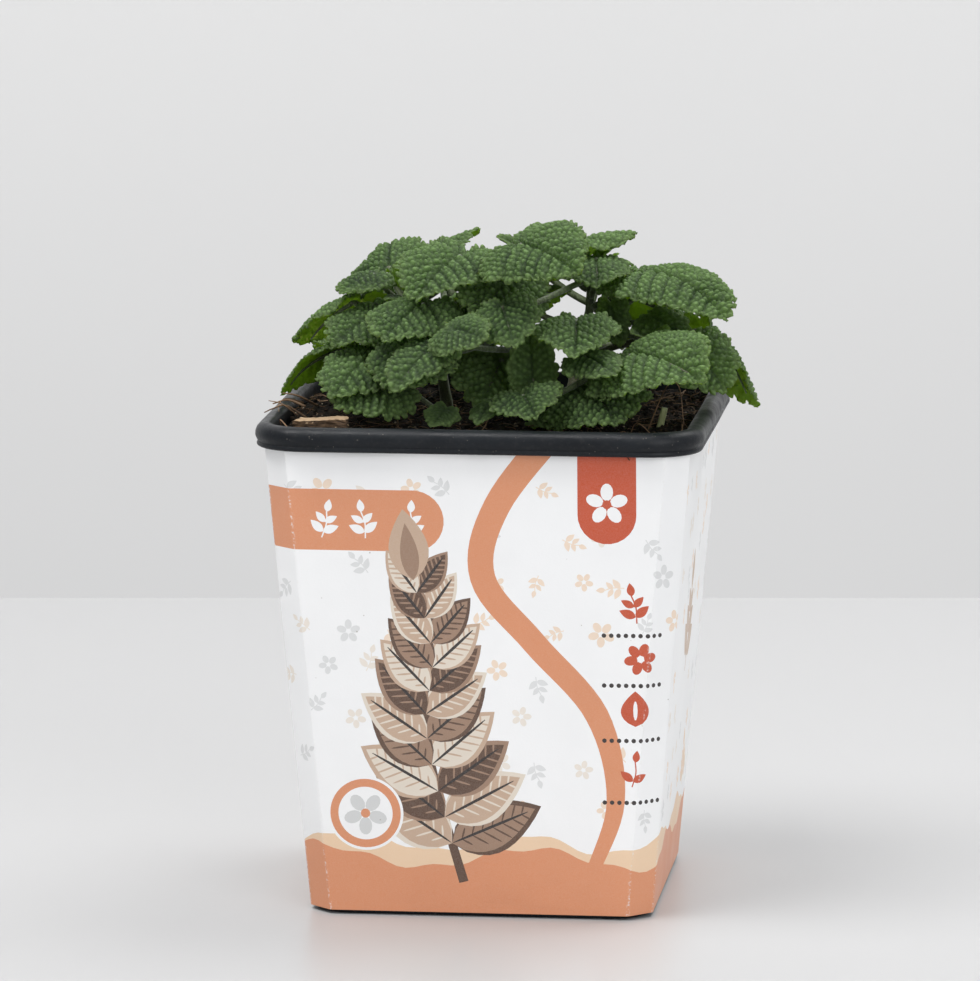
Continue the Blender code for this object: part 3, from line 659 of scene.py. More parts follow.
def build_sleeve():
    corners = [(card_end(z, side), z) for z, side in ((SLEEVE_LOW_Z, -1), (SLEEVE_LOW_Z, 1))]
    corners += [(card_end(z, side), z) for z, side in ((SLEEVE_HIGH_Z, 1), (SLEEVE_HIGH_Z, -1))]
    places = [Vector(corner) for corner in corners]
    loops, colours = [list(range(4))], [CARD_WHITE]
    for outline, colour in printed_shapes():
        if turns_right(outline):
            outline = outline[::-1]
        loops.append(list(range(len(places), len(places) + len(outline))))
        places += [Vector(point) for point in outline]
        colours.append(colour)
    edges = []
    for side in (-1, 1):
        for fold in range(4):
            for beside in (-CREASE_HALF, 0.0, CREASE_HALF):
                for z in (SLEEVE_LOW_Z, SLEEVE_HIGH_Z):
                    places.append(Vector((side * (card_folds(z)[fold] + beside), z)))
                edges.append((len(places) - 2, len(places) - 1))
    for z in (SLEEVE_LOW_Z, SLEEVE_HIGH_Z):
        for x in (LAP_FROM_X - LAP_RISE_FROM, LAP_FROM_X - LAP_RISE_TO):
            flat, *_, last = card_folds(z)
            places.append(Vector((-(last + flat + x), z)))
    edges += [(len(places) - 4, len(places) - 2), (len(places) - 3, len(places) - 1)]
    for z in np.arange(SLEEVE_LOW_Z + CARD_GRID / 2, SLEEVE_HIGH_Z, CARD_GRID):
        for s in np.arange(-270.0, 270.0, CARD_GRID):
            if card_end(z, -1) + 1 < s < card_end(z, 1) - 1:
                places.append(Vector((s, z)))
    flat_places, _, triangles, _, _, owners = geometry.delaunay_2d_cdt(places, edges, loops, 0, 0.001)
    kept = [(tri, max(own)) for tri, own in zip(triangles, owners) if 0 in own]
    used = sorted({corner for tri, _ in kept for corner in tri})
    index = {corner: i for i, corner in enumerate(used)}
    points, creases = [], []
    for depth in (0.0, -SLEEVE_CARD):
        for corner in used:
            s, z = flat_places[corner]
            points.append(card_place(s, z, card_lift(s, z) + depth))
            creases.append(1.0 if min(abs(abs(s) - fold) for fold in card_folds(z)) < 0.2 else 0.0)
    faces, tints = [], []
    borders = {}
    count = len(used)
    for (a, b, c), owner in kept:
        a, b, c = index[a], index[b], index[c]
        (ax, az), (bx, bz), (cx, cz) = (flat_places[used[i]] for i in (a, b, c))
        if (bx - ax) * (cz - az) - (cx - ax) * (bz - az) < 0:
            b, c = c, b
        faces.append((a, b, c))
        tints.append(colours[owner])
        for edge in ((a, b), (b, c), (c, a)):
            borders[edge] = True
    for a, b, c in list(faces):
        faces.append((a + count, c + count, b + count))
        tints.append(CARD_WHITE)
    for a, b in borders:
        if (b, a) not in borders:
            faces.append((b, a, a + count, b + count))
            tints.append(CARD_WHITE)
    sleeve = build_piece("card_sleeve", points, faces, [printed_card()])
    ink = sleeve.data.attributes.new("ink", "FLOAT_COLOR", "CORNER")
    corner_tints = []
    for polygon, tint in zip(sleeve.data.polygons, tints):
        corner_tints += [*tint, 1.0] * polygon.loop_total
    ink.data.foreach_set("color", corner_tints)
    sleeve.data.attributes.new("crease", "FLOAT", "POINT").data.foreach_set("value", creases)
    sleeve.data.set_sharp_from_angle(angle=math.radians(60))
    return sleeve


def printed_card():
    card = Surface("printed_card", 0.42, Specular_IOR_Level=0.4, Coat_Weight=0.12, Coat_Roughness=0.3)
    ink = card.attribute("ink", "Color")
    cloud = card.group(MOTTLE, Scale=26, Detail=5, Low=0.96, High=1.02)
    shade = card.add("ShaderNodeCombineColor", {0: cloud, 1: cloud, 2: cloud}).outputs[0]
    tinted = card.mix(1.0, ink, shade, "MULTIPLY")
    grain = card.group(MOTTLE, Scale=3200, Detail=2, Low=0, High=0.06)
    tinted = card.mix(grain, tinted, (0.9, 0.9, 0.9, 1.0))
    chips = card.group(MOTTLE, Scale=1500, Detail=6, Low=-0.9, High=0.9)
    worn = card.maths("MULTIPLY", card.attribute("crease"), chips)
    tinted = card.mix(worn, tinted, (0.88, 0.88, 0.87, 1.0))
    dust = card.group(SPECKS, Scale=520, Share=0.03, Size=0.16)
    card.wire(
        Base_Color=card.mix(card.maths("MULTIPLY", dust, 0.5), tinted, (0.25, 0.20, 0.15, 1.0)),
        Roughness=card.group(MOTTLE, Scale=90, Detail=4, Low=0.34, High=0.50),
    )
    card.bump(
        (card.group(MOTTLE, Scale=1800, Detail=4, Low=0, High=1), 0.012),
        (card.group(MOTTLE, Scale=45, Detail=2, Low=0, High=1), 0.10),
        (worn, 0.02),
    )
    return card.material


card_sleeve = build_sleeve()
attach(card_sleeve, "root")
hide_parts("sleeve")


# Compost: dark damp peat that fills the pot to just under the rim, heaped at the left. Its top is crumbly,
# with clods, brown plant fibres and a few pale grains lying loose on it.
SOIL_LEVEL = 132.5
SOIL_HALF = POT_INNER_HALF - 0.9
SOIL_CORNER = 9.4
SOIL_FOOT_HALF = 45.1
SOIL_FOOT_Z = 1.9
SOIL_GRID = 1.15
STRAND_BEND = 0.9
# Each mound: x, y, height, spread
SOIL_MOUNDS = (
    (-46, -6, 7.0, 9.0),
    (-44, -40, 1.5, 10.0),
    (40, -24, 1.0, 14.0),
    (4, 6, 1.8, 24.0),
    (30, 34, 1.2, 12.0),
    (-24, 38, -0.8, 12.0),
    (10, -44, -0.6, 12.0),
)
PEAT_DARK = (0.0035, 0.0028, 0.0020, 1.0)
PEAT_BROWN = (0.020, 0.013, 0.007, 1.0)


def soil_height(x, y):
    z = SOIL_LEVEL
    for centre_x, centre_y, height, spread in SOIL_MOUNDS:
        z += height * math.exp(-((x - centre_x) ** 2 + (y - centre_y) ** 2) / spread**2)
    place = Vector((x, y, 0))
    lumps = noise.fractal(place * 0.16, 1.0, 2.0, 4) + 0.5 * noise.cell(place * 0.35) - 0.25
    return z + 0.75 * lumps + 0.35 * noise.noise(place * 0.9)


def fill_outline(loop, spacing, inset, grid_turn=0.0):
    """Triangles that fill a flat outline round its origin; the points of the outline come first."""
    loop = np.asarray(loop, float)
    angles = np.arctan2(loop[:, 0], loop[:, 1])
    order = np.argsort(angles)
    reach = np.hypot(loop[:, 0], loop[:, 1])
    size = reach.max()
    rows = np.arange(-size, size, spacing * math.sqrt(0.75))
    columns = np.arange(-size, size, spacing)
    grid = np.array([(u + spacing / 2 * (i % 2), v) for i, v in enumerate(rows) for u in columns])
    turn = math.radians(grid_turn)
    grid = grid @ np.array(((math.cos(turn), -math.sin(turn)), (math.sin(turn), math.cos(turn))))
    away = np.interp(np.arctan2(grid[:, 0], grid[:, 1]), angles[order], reach[order], period=math.tau)
    grid = grid[np.hypot(grid[:, 0], grid[:, 1]) < away - inset]
    places = [Vector(point) for point in np.concatenate([loop, grid])]
    count = len(loop)
    edges = [(i, (i + 1) % count) for i in range(count)]
    found, _, triangles, _, _, _ = geometry.delaunay_2d_cdt(places, edges, [], 1, 1e-6)
    flat = np.array([tuple(place) for place in found])
    triangles = np.array([tuple(tri) for tri in triangles])
    first, second, third = (flat[triangles[:, k]] for k in range(3))
    one, two = second - first, third - first
    turning = one[:, 0] * two[:, 1] - two[:, 0] * one[:, 1]
    triangles[turning < 0] = triangles[turning < 0][:, ::-1]
    return flat, triangles


def build_soil():
    loop = [point[:2] for point in rounded_square(SOIL_HALF, SOIL_CORNER, 0, 8, 70)]
    flat, triangles = fill_outline(loop, SOIL_GRID, 0.6)
    points = [(x, y, soil_height(x, y)) for x, y in flat]
    faces = [tuple(int(corner) for corner in tri) for tri in triangles]
    top = build_piece("soil_top", points, faces, [])
    count = len(loop)
    foot = [(x * SOIL_FOOT_HALF / SOIL_HALF, y * SOIL_FOOT_HALF / SOIL_HALF, SOIL_FOOT_Z) for x, y in loop]
    first = len(points)
    bridge(faces, first, 0, count)
    faces.append(tuple(range(first + count - 1, first - 1, -1)))
    return build_piece("compost", points + foot, faces, [peat()]), top


def peat():
    earth = Surface("peat", 0.95, Specular_IOR_Level=0.25)
    crumbs = earth.group(MOTTLE, Scale=650, Detail=8, Low=-0.3, High=1)
    body = earth.mix(crumbs, PEAT_DARK, PEAT_BROWN)
    along = earth.stretched((1.0, 6.0, 3.0))
    strands = earth.group(MOTTLE, Vector=along, Scale=420, Detail=6, Low=-1.6, High=0.9)
    body = earth.mix(strands, body, (0.10, 0.055, 0.028, 1.0))
    grains = earth.group(SPECKS, Scale=700, Share=0.06, Size=0.4)
    earth.wire(
        Base_Color=earth.mix(earth.maths("MULTIPLY", grains, 0.6), body, (0.30, 0.25, 0.19, 1.0)),
        Roughness=earth.group(MOTTLE, Scale=500, Detail=3, Low=0.75, High=1.0),
    )
    earth.bump((crumbs, 0.7), (strands, 0.25))
    return earth.material


def crumb_shape(name, size, seed):
    """A small clod of twenty faces."""
    golden = (1 + math.sqrt(5)) / 2
    corners = [(0, a, b * golden) for a in (-1, 1) for b in (-1, 1)]
    corners += [(a, b * golden, 0) for a in (-1, 1) for b in (-1, 1)]
    corners += [(b * golden, 0, a) for a in (-1, 1) for b in (-1, 1)]
    rng = np.random.default_rng(seed)
    places = np.array(corners, float) / 1.9
    hull = geometry_hull(places)
    stretch = rng.uniform(0.6, 1.3, 3)
    places = places * rng.uniform(0.75, 1.2, (12, 1)) * stretch * size / 2
    return build_piece(name, places, hull, [], smooth=False)


def geometry_hull(places):
    """Outward triangles of the twenty-sided solid: each is three corners that are all neighbours."""
    gaps = np.linalg.norm(places[:, None] - places[None], axis=2)
    near = gaps < 1.1 * np.min(gaps + 10 * np.eye(len(places)))
    faces = []
    for a in range(12):
        for b in range(a + 1, 12):
            for c in range(b + 1, 12):
                if near[a, b] and near[b, c] and near[a, c]:
                    turn = np.dot(np.cross(places[b] - places[a], places[c] - places[a]), places[a])
                    faces.append((a, b, c) if turn > 0 else (a, c, b))
    return faces


def strand_shape(name, length, seed):
    """A bent fibre, three-sided and closed."""
    rng = np.random.default_rng(seed)
    middle, late = (length * 0.35, STRAND_BEND, 0.3), (length * 0.7, -STRAND_BEND * 0.4, 0.6)
    knots = [(0, 0, 0), middle, late, (length, STRAND_BEND * 0.5, 0.2)]
    path = smooth_path([np.add(knot, rng.uniform(-0.3, 0.3, 3)) for knot in knots], 3)
    points, faces = [], []
    for i, (x, y, z) in enumerate(path):
        radius = 0.16 * (1 - 0.6 * i / len(path))
        for side in range(3):
            around = math.tau * side / 3
            points.append((x - length / 2, y + radius * math.cos(around), z + radius * math.sin(around)))
    for ring in range(len(path) - 1):
        bridge(faces, ring * 3, (ring + 1) * 3, 3)
    last = len(points) - 3
    faces += [(2, 1, 0), (last, last + 1, last + 2)]
    return build_piece(name, points, faces, [], smooth=False)


def build_scatter():
    """Geometry Nodes tree that lays loose bits on a surface, lying along it at any turn."""
    tree = bpy.data.node_groups.new("scatter_bits", "GeometryNodeTree")
    for label, kind in (
        ("Surface", "NodeSocketGeometry"),
        ("Bits", "NodeSocketCollection"),
        ("Density", "NodeSocketFloat"),
        ("Smallest", "NodeSocketFloat"),
        ("Largest", "NodeSocketFloat"),
        ("Seed", "NodeSocketInt"),
        ("Finish", "NodeSocketMaterial"),
    ):
        tree.interface.new_socket(label, in_out="INPUT", socket_type=kind)
    tree.interface.new_socket("Geometry", in_out="OUTPUT", socket_type="NodeSocketGeometry")
    given, result = add_node(tree, "NodeGroupInput").outputs, add_node(tree, "NodeGroupOutput")

    def add(kind, inputs, **settings):
        return add_node(tree, kind, inputs, **settings).outputs

    seed = {"Seed": given["Seed"]}
    where = {"Mesh": given["Surface"], "Density": given["Density"], **seed}
    spots = add("GeometryNodeDistributePointsOnFaces", where)
    apart = {"Collection": given["Bits"], "Separate Children": True, "Reset Children": True}
    bits = add("GeometryNodeCollectionInfo", apart)
    turns = {"Min": (-0.5, -0.5, 0.0), "Max": (0.5, 0.5, math.tau), **seed}
    turn = add("FunctionNodeRandomValue", turns, data_type="FLOAT_VECTOR")
    both = {"Rotation": spots["Rotation"], "Rotate By": turn[0]}
    lying = add("FunctionNodeRotateRotation", both, rotation_space="LOCAL")
    size = add("FunctionNodeRandomValue", {2: given["Smallest"], 3: given["Largest"], **seed})
    laid = {"Points": spots["Points"], "Instance": bits[0], "Rotation": lying[0], "Scale": size[1]}
    placed = add("GeometryNodeInstanceOnPoints", {**laid, "Pick Instance": True})
    real = add("GeometryNodeRealizeInstances", {"Geometry": placed[0]})
    done = add("GeometryNodeSetMaterial", {"Geometry": real[0], "Material": given["Finish"]})
    tree.links.new(done[0], result.inputs[0])
    return tree


def scatter(name, surface, bits, density, sizes, seed, finish):
    """Lays bits over the surface, and gives them as one plain mesh piece."""
    group = bpy.data.collections.new(name + "_bits")
    for bit in bits:
        bpy.context.scene.collection.objects.unlink(bit)
        group.objects.link(bit)
    piece = bpy.data.objects.new(name, surface.data.copy())
    bpy.context.scene.collection.objects.link(piece)
    modifier = piece.modifiers.new("scatter", "NODES")
    modifier.node_group = SCATTER
    inputs = {"Bits": group, "Density": density, "Seed": seed, "Finish": finish}
    inputs["Smallest"], inputs["Largest"] = sizes
    for item in SCATTER.interface.items_tree:
        if item.in_out == "INPUT" and item.name in inputs:
            modifier[item.identifier] = inputs[item.name]
    settle(piece)
    for bit in bits:
        bpy.data.objects.remove(bit)
    bpy.data.collections.remove(group)
    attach(piece, "root")
    return piece


SCATTER = build_scatter()
LOOSE_FIBRE = streaky(
    "loose_fibre", (0.055, 0.028, 0.014), (0.26, 0.16, 0.085), 160, 5, (900, 0.6, 0.9), 0.05, fine=2600
)
PALE_GRIT = streaky(
    "pale_grit", (0.19, 0.14, 0.09), (0.46, 0.40, 0.31), 400, 4, (900, 0.55, 0.85), 0.06, fine=2000
)
compost, soil_top = build_soil()
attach(compost, "root")
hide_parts("soil")
PEAT = compost.data.materials[0]
crumbs = [crumb_shape(f"crumb_{seed}", 1.5, seed) for seed in range(5)]
scatter("soil_crumbs", soil_top, crumbs, 150000, (0.35, 1.5), 11, PEAT)
fibres = [strand_shape(f"strand_{seed}", 5.0 + 2 * seed, seed) for seed in range(4)]
scatter("soil_fibres", soil_top, fibres, 42000, (0.5, 1.3), 12, LOOSE_FIBRE)
grit = [crumb_shape(f"grit_{seed}", 0.8, seed + 20) for seed in range(3)]
scatter("soil_grit", soil_top, grit, 16000, (0.4, 1.3), 13, PALE_GRIT)
bpy.data.objects.remove(soil_top)


# Coir chip: a flat piece of dry coconut husk lying on the compost at the front left, tan and smooth on top
# with a torn, fibrous brown edge.
CHIP_LENGTH = 14.0
CHIP_DEPTH = 7.0
CHIP_THICKNESS = 3.0
CHIP_MIDDLE = (-43.0, -45.0, 136.0)
CHIP_TURN = -4.0
# The cut face and the torn sides: colours, grain, its detail, least roughness, its spread, bump and stretch
HUSK_FACES = (
    ("husk_cut", (0.24, 0.15, 0.080), (0.46, 0.33, 0.20), 380, 6, 0.6, 0.3, 0.25, (1, 5, 5)),
    ("husk_torn", (0.030, 0.016, 0.009), (0.17, 0.10, 0.050), 520, 7, 0.75, 0.25, 0.5, (1, 1, 5)),
)


def build_chip():
    columns, rows, layers = 42, 20, 9
    turn = math.radians(CHIP_TURN)
    points, faces = [], []

    def ragged(u, v, w):
        """A place on the chip's surface, for shares from -1 to 1 of its length, depth and thickness."""
        x, y, z = u * CHIP_LENGTH / 2, v * CHIP_DEPTH / 2, w * CHIP_THICKNESS / 2
        spot = Vector((x * 0.5, y * 0.7, z * 2.4))
        edge = max(abs(u), abs(v)) ** 6
        tear = 0.45 * noise.fractal(spot, 1.0, 2.0, 3)
        x -= edge * tear * u + 0.8 * max(0.0, v * u) * abs(u)
        y -= edge * tear * v
        z += 0.16 * noise.noise(spot * 2.0) + 0.35 * math.sin(u * 2.2)
        return (
            CHIP_MIDDLE[0] + x * math.cos(turn) - y * math.sin(turn),
            CHIP_MIDDLE[1] + x * math.sin(turn) + y * math.cos(turn),
            CHIP_MIDDLE[2] + z,
        )

    index = {}

    def corner(u, v, w):
        key = (round(u, 4), round(v, 4), round(w, 4))
        if key not in index:
            index[key] = len(points)
            points.append(ragged(u, v, w))
        return index[key]

    def sheet(across, up, place):
        for i in range(across):
            for j in range(up):
                spans = ((i, j), (i + 1, j), (i + 1, j + 1), (i, j + 1))
                faces.append([corner(*place(2 * a / across - 1, 2 * b / up - 1)) for a, b in spans])

    sheet(columns, rows, lambda a, b: (a, b, 1))
    sheet(rows, columns, lambda a, b: (b, a, -1))
    sheet(columns, layers, lambda a, b: (a, -1, b))
    sheet(layers, columns, lambda a, b: (b, 1, a))
    sheet(rows, layers, lambda a, b: (1, a, b))
    sheet(layers, rows, lambda a, b: (-1, b, a))
    finishes = [
        streaky(name, dark, light, scale, detail, (700, smooth, smooth + spread), depth, stretch)
        for name, dark, light, scale, detail, smooth, spread, depth, stretch in HUSK_FACES
    ]
    chip = build_piece("coir_husk", points, faces, finishes)
    for polygon in chip.data.polygons:
        polygon.material_index = 0 if polygon.normal.z > 0.7 else 1
    return chip


coir_husk = build_chip()
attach(coir_husk, "root")
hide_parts("coir_chip")


# Stems: seven square, finely hairy green stems that stand in the compost, each with small folded
# leaves at its growing tip. A short pale stump of a cut stem stands at the right.
STEM_FOOT_RADIUS = 1.7
STEM_TIP_RADIUS = 1.1
STEM_SQUARE = 1.12
STEM_SIDES = 16
STEM_STEPS = 9
# Foot x, y, then a point half way up, then the growing tip
STEMS = {
    "stem_right_back": ((22, 8), (24, 6, 150), (26, 3, 172)),
    "stem_right_front": ((34, -9), (36, -11, 143), (42, -14, 153)),
    "stem_middle": ((4, 2), (5, -1, 152), (8, -8, 178)),
    "stem_left_back": ((-14, 2), (-17, 1, 150), (-21, -4, 170)),
    "stem_left_front": ((-30, -10), (-32, -11, 142), (-37, -12, 150)),
    "stem_rear_left": ((-10, 26), (-13, 30, 148), (-17, 33, 164)),
    "stem_rear_right": ((17, 28), (20, 33, 148), (24, 37, 166)),
}
STUMP_FOOT = (47, -22)
STUMP_LEAN = (1.5, 0.0, 6.0)
LEAF_EDGE_CURL = 55.0
LEAF_HALF_THICKNESS = 0.24
LEAF_MIDRIB_ROUND = 0.7
PETIOLE_RADIUS = 0.75
PETIOLE_SIDES = 10
PETIOLE_STEPS = 9
# Reach of the outline from the petiole joint, as a share of the length, at each angle from the tip
LEAF_OUTLINE = (
    (0, 1.0), (14, 0.86), (30, 0.72), (60, 0.56), (90, 0.49), (120, 0.45), (150, 0.37), (180, 0.12)
)
LEAF_OUTLINE_WIDTH = 0.98
TOOTH_PITCH = 4.0
TOOTH_DEPTH = 1.9
LEAF_GRID = 0.38
LEAF_UNDER_GRID = 0.75
LEAF_MARGIN_STEP = 0.32
VEIN_PITCH_SHARE = 0.15
VEIN_LEAN = 0.7
CELL_PITCH = 1.7
PUCKER_RISE = 1.05
PANEL_RISE = 0.45
VEIN_SINK = 0.60
TOOTH_PUFF = 0.85
RIM_SINK = 0.60
RUFFLE_RISE = 1.05
YOUNG_SEED = 500


class Blade:
    """The curved middle surface of a leaf, from flat places x across and y along the midrib."""

    def __init__(self, base, tip, face, width, fold, droop):
        self.base = np.array(base, float)
        chord = np.subtract(tip, base)
        span = np.linalg.norm(chord)
        self.along = chord / span
        up = face - np.dot(face, self.along) * self.along
        self.up = up / np.linalg.norm(up)
        self.side = np.cross(self.along, self.up)
        self.droop = math.radians(droop)
        self.fold = math.radians(fold)
        self.length = span * (self.droop / 2) / math.sin(self.droop / 2)
        self.width = width
        self.curl = math.radians(LEAF_EDGE_CURL) / (width / 2)

    def place(self, x, y, lift):
        """The curved places of flat ones, lifted square to the surface."""
        x, y, lift = (np.asarray(value, float)[..., None] for value in (x, y, lift))
        reach = self.droop / self.length
        rise = self.droop / 2 - reach * y
        forward = (math.sin(self.droop / 2) - np.sin(rise)) / reach
        upward = (np.cos(rise) - math.cos(self.droop / 2)) / reach
        normal = np.cos(rise) * self.up - np.sin(rise) * self.along
        wide = np.sqrt(x**2 + LEAF_MIDRIB_ROUND**2)
        side = x / wide * self.side
        tilt = self.fold - self.curl * wide
        outward = (math.sin(self.fold) - np.sin(tilt)) / self.curl
        height = (np.cos(tilt) - math.cos(self.fold)) / self.curl
        spot = self.base + forward * self.along + upward * self.up + outward * side + height * normal
        return spot + lift * (np.cos(tilt) * normal - np.sin(tilt) * side)


def margin(blade, rng):
    """The flat outline, scalloped into round teeth, with each point's share of a tooth's swell."""
    angles = np.arange(-180, 180, 0.5)
    share = np.interp(np.abs(angles), *zip(*LEAF_OUTLINE))
    weights = np.hanning(25)
    share = np.convolve(np.tile(share, 3), weights / weights.sum(), "same")[len(share) : 2 * len(share)]
    wide = blade.width / (LEAF_OUTLINE_WIDTH * blade.length)
    turn = np.radians(angles)
    x, y = share * blade.length * wide * np.sin(turn), share * blade.length * np.cos(turn)
    steps = np.hypot(np.diff(x, append=x[0]), np.diff(y, append=y[0]))
    run = np.concatenate([[0], np.cumsum(steps)[:-1]])
    whole = steps.sum()
    count = max(40, int(whole / LEAF_MARGIN_STEP))
    even = np.arange(count) / count * whole
    x, y = np.interp(even, run, x, period=whole), np.interp(even, run, y, period=whole)
    turn = np.interp(even, run, np.abs(angles), period=whole)
    teeth = max(9, int(whole / (TOOTH_PITCH * (0.72 + 0.28 * min(1.0, blade.width / 30)))))
    warp = 0.35 * np.sin(even / whole * math.tau * 5 + rng.uniform(0, 6)) + even / whole * teeth
    swell = (1 - np.abs(2 * (warp % 1) - 1) ** 2.4) ** 0.6
    sizes = rng.uniform(0.75, 1.25, teeth + 3)[(np.floor(warp).astype(int)) % (teeth + 3)]
    depth = TOOTH_DEPTH * sizes * np.clip((172 - turn) / 25, 0, 1) * min(1.0, blade.width / 24)
    reach = np.hypot(x, y)
    grow = 1 + depth * (swell - 0.55) / np.maximum(reach, 1.0)
    return np.stack([x * grow, y * grow], 1), swell


def cells(flat, pitch, rng):
    """Distance to the borders of irregular cells about a pitch wide: 0 on a border, 1 in the middle."""
    jitter = rng.uniform(0.12, 0.88, (64, 64, 2))
    spot = flat / pitch
    home = np.floor(spot).astype(int)
    near = []
    for i in (-1, 0, 1):
        for j in (-1, 0, 1):
            cell = home + (i, j)
            centre = cell + jitter[cell[:, 0] % 64, cell[:, 1] % 64]
            near.append(np.linalg.norm(spot - centre, axis=1))
    near = np.sort(near, axis=0)
    return np.clip((near[1] - near[0]) / 0.66, 0, 1)


def relief(blade, flat, loop, swell, rng_seed):
    """Height of the puckered surface, and how far each place is a crest, a vein or near the margin."""
    x, y = np.abs(flat[:, 0]), flat[:, 1]
    away = np.hypot(x, y)
    pitch = VEIN_PITCH_SHARE * blade.length
    lateral = (y - VEIN_LEAN * x * (1 + 0.010 * x)) / pitch
    start = math.degrees(math.atan(VEIN_LEAN))
    spread = (start - np.degrees(np.arctan2(y, np.maximum(x, 1e-6)))) / 30
    phase = np.where(lateral >= 0, lateral, spread)
    off = np.abs(phase - np.round(phase))
    beside = off * pitch * math.cos(math.radians(start))
    from_vein = np.where(lateral >= 0, beside, off * math.radians(30) * away)
    from_vein = np.minimum(from_vein, np.where(y > -1, x, 99))
    angles = np.arctan2(loop[:, 0], loop[:, 1])
    order = np.argsort(angles)
    here = np.arctan2(flat[:, 0], flat[:, 1])
    edge = np.interp(here, angles[order], np.hypot(loop[:, 0], loop[:, 1])[order], period=math.tau)
    puff = np.interp(here, angles[order], swell[order], period=math.tau)
    from_edge = np.maximum(edge - away, 0) * 0.85
    grow = min(1.0, blade.width / 26)
    cell = cells(flat + 200.0, CELL_PITCH * (0.75 + 0.25 * grow), np.random.default_rng(rng_seed))
    dome = cell * (2 - cell)
    vein = np.exp(-((from_vein / 0.42) ** 2)) * np.clip(from_edge / 3, 0.15, 1)
    midrib = np.exp(-((x / 0.55) ** 2)) * np.clip((y + 1) / 2, 0, 1) * np.clip((blade.length - y) / 8, 0.2, 1)
    pillow = 1 - np.exp(-((from_vein / 1.5) ** 2))
    rim = np.exp(-from_edge / 0.9)
    wave_turn = np.random.default_rng(rng_seed + 1).uniform(0, 6, 2)
    ruffle = (away / np.maximum(edge, 1)) ** 3 * (
        0.7 * np.sin(here * 5 + wave_turn[0]) + 0.5 * np.sin(here * 9 + wave_turn[1])
    )
    height = grow * (
        PUCKER_RISE * (dome - 0.5) * (1 - 0.5 * vein)
        + PANEL_RISE * (pillow - 0.5)
        - VEIN_SINK * vein
        - VEIN_SINK * midrib
        + rim * (TOOTH_PUFF * puff - RIM_SINK)
        + RUFFLE_RISE * ruffle
    )
    # crest and the vein share only colour the leaf, as painted highlight on the crests and painted shade in
    # the veins
    crest = cell * (1 - 0.9 * np.maximum(vein, midrib)) * (0.75 + 0.25 * pillow)
    return height, crest, np.maximum(vein, midrib), rim, from_edge


def petiole_path(blade, stem, height, sway):
    """A curve from the stem's side to just under the blade's joint."""
    heights = stem[:, 2]
    axis = np.array([np.interp(height, heights, stem[:, k]) for k in range(3)])
    out = (blade.base - axis) * (1, 1, 0)
    out /= np.linalg.norm(out)
    radius = STEM_FOOT_RADIUS + (STEM_TIP_RADIUS - STEM_FOOT_RADIUS) * 0.6
    start = axis + out * radius * 0.8
    end = blade.place(0, 0, -LEAF_HALF_THICKNESS - 0.6)
    under = blade.place(0.0, 0.2, -1.0) - blade.place(0.0, 0.2, 0.0)
    span = np.linalg.norm(end - start)
    sideways = np.cross(out, (0, 0, 1)) * sway
    first = start + out * span * 0.3 + (0, 0, span * 0.12) + sideways
    last = end + (under - 0.8 * blade.along) * span * 0.3 + sideways * 0.5
    t = np.linspace(0, 1, PETIOLE_STEPS + 1)[:, None]
    return (1 - t) ** 3 * start + 3 * (1 - t) ** 2 * t * first + 3 * (1 - t) * t**2 * last + t**3 * end


def sweep(path, radii, sides, square, sideways):
    """A closed tube along a path; square bulges its section towards four corners."""
    path = np.asarray(path, float)
    ahead = np.gradient(path, axis=0)
    ahead /= np.linalg.norm(ahead, axis=1)[:, None]
    points, faces = [], []
    across = np.array(sideways, float)
    angles = math.tau * (np.arange(sides) + 0.5) / sides
    bulge = 1 + (square - 1) * np.cos(4 * (angles - math.pi / 4))
    for place, forward, radius in zip(path, ahead, radii):
        across = across - across @ forward * forward
        across /= np.linalg.norm(across)
        upward = np.cross(forward, across)
        ring = np.cos(angles)[:, None] * across + np.sin(angles)[:, None] * upward
        points.append(place + ring * (bulge * radius)[:, None])
    for i in range(len(path) - 1):
        bridge(faces, i * sides, (i + 1) * sides, sides)
    faces.append(tuple(reversed(range(sides))))
    last = (len(path) - 1) * sides
    faces.append(tuple(range(last, last + sides)))
    return np.concatenate(points), faces


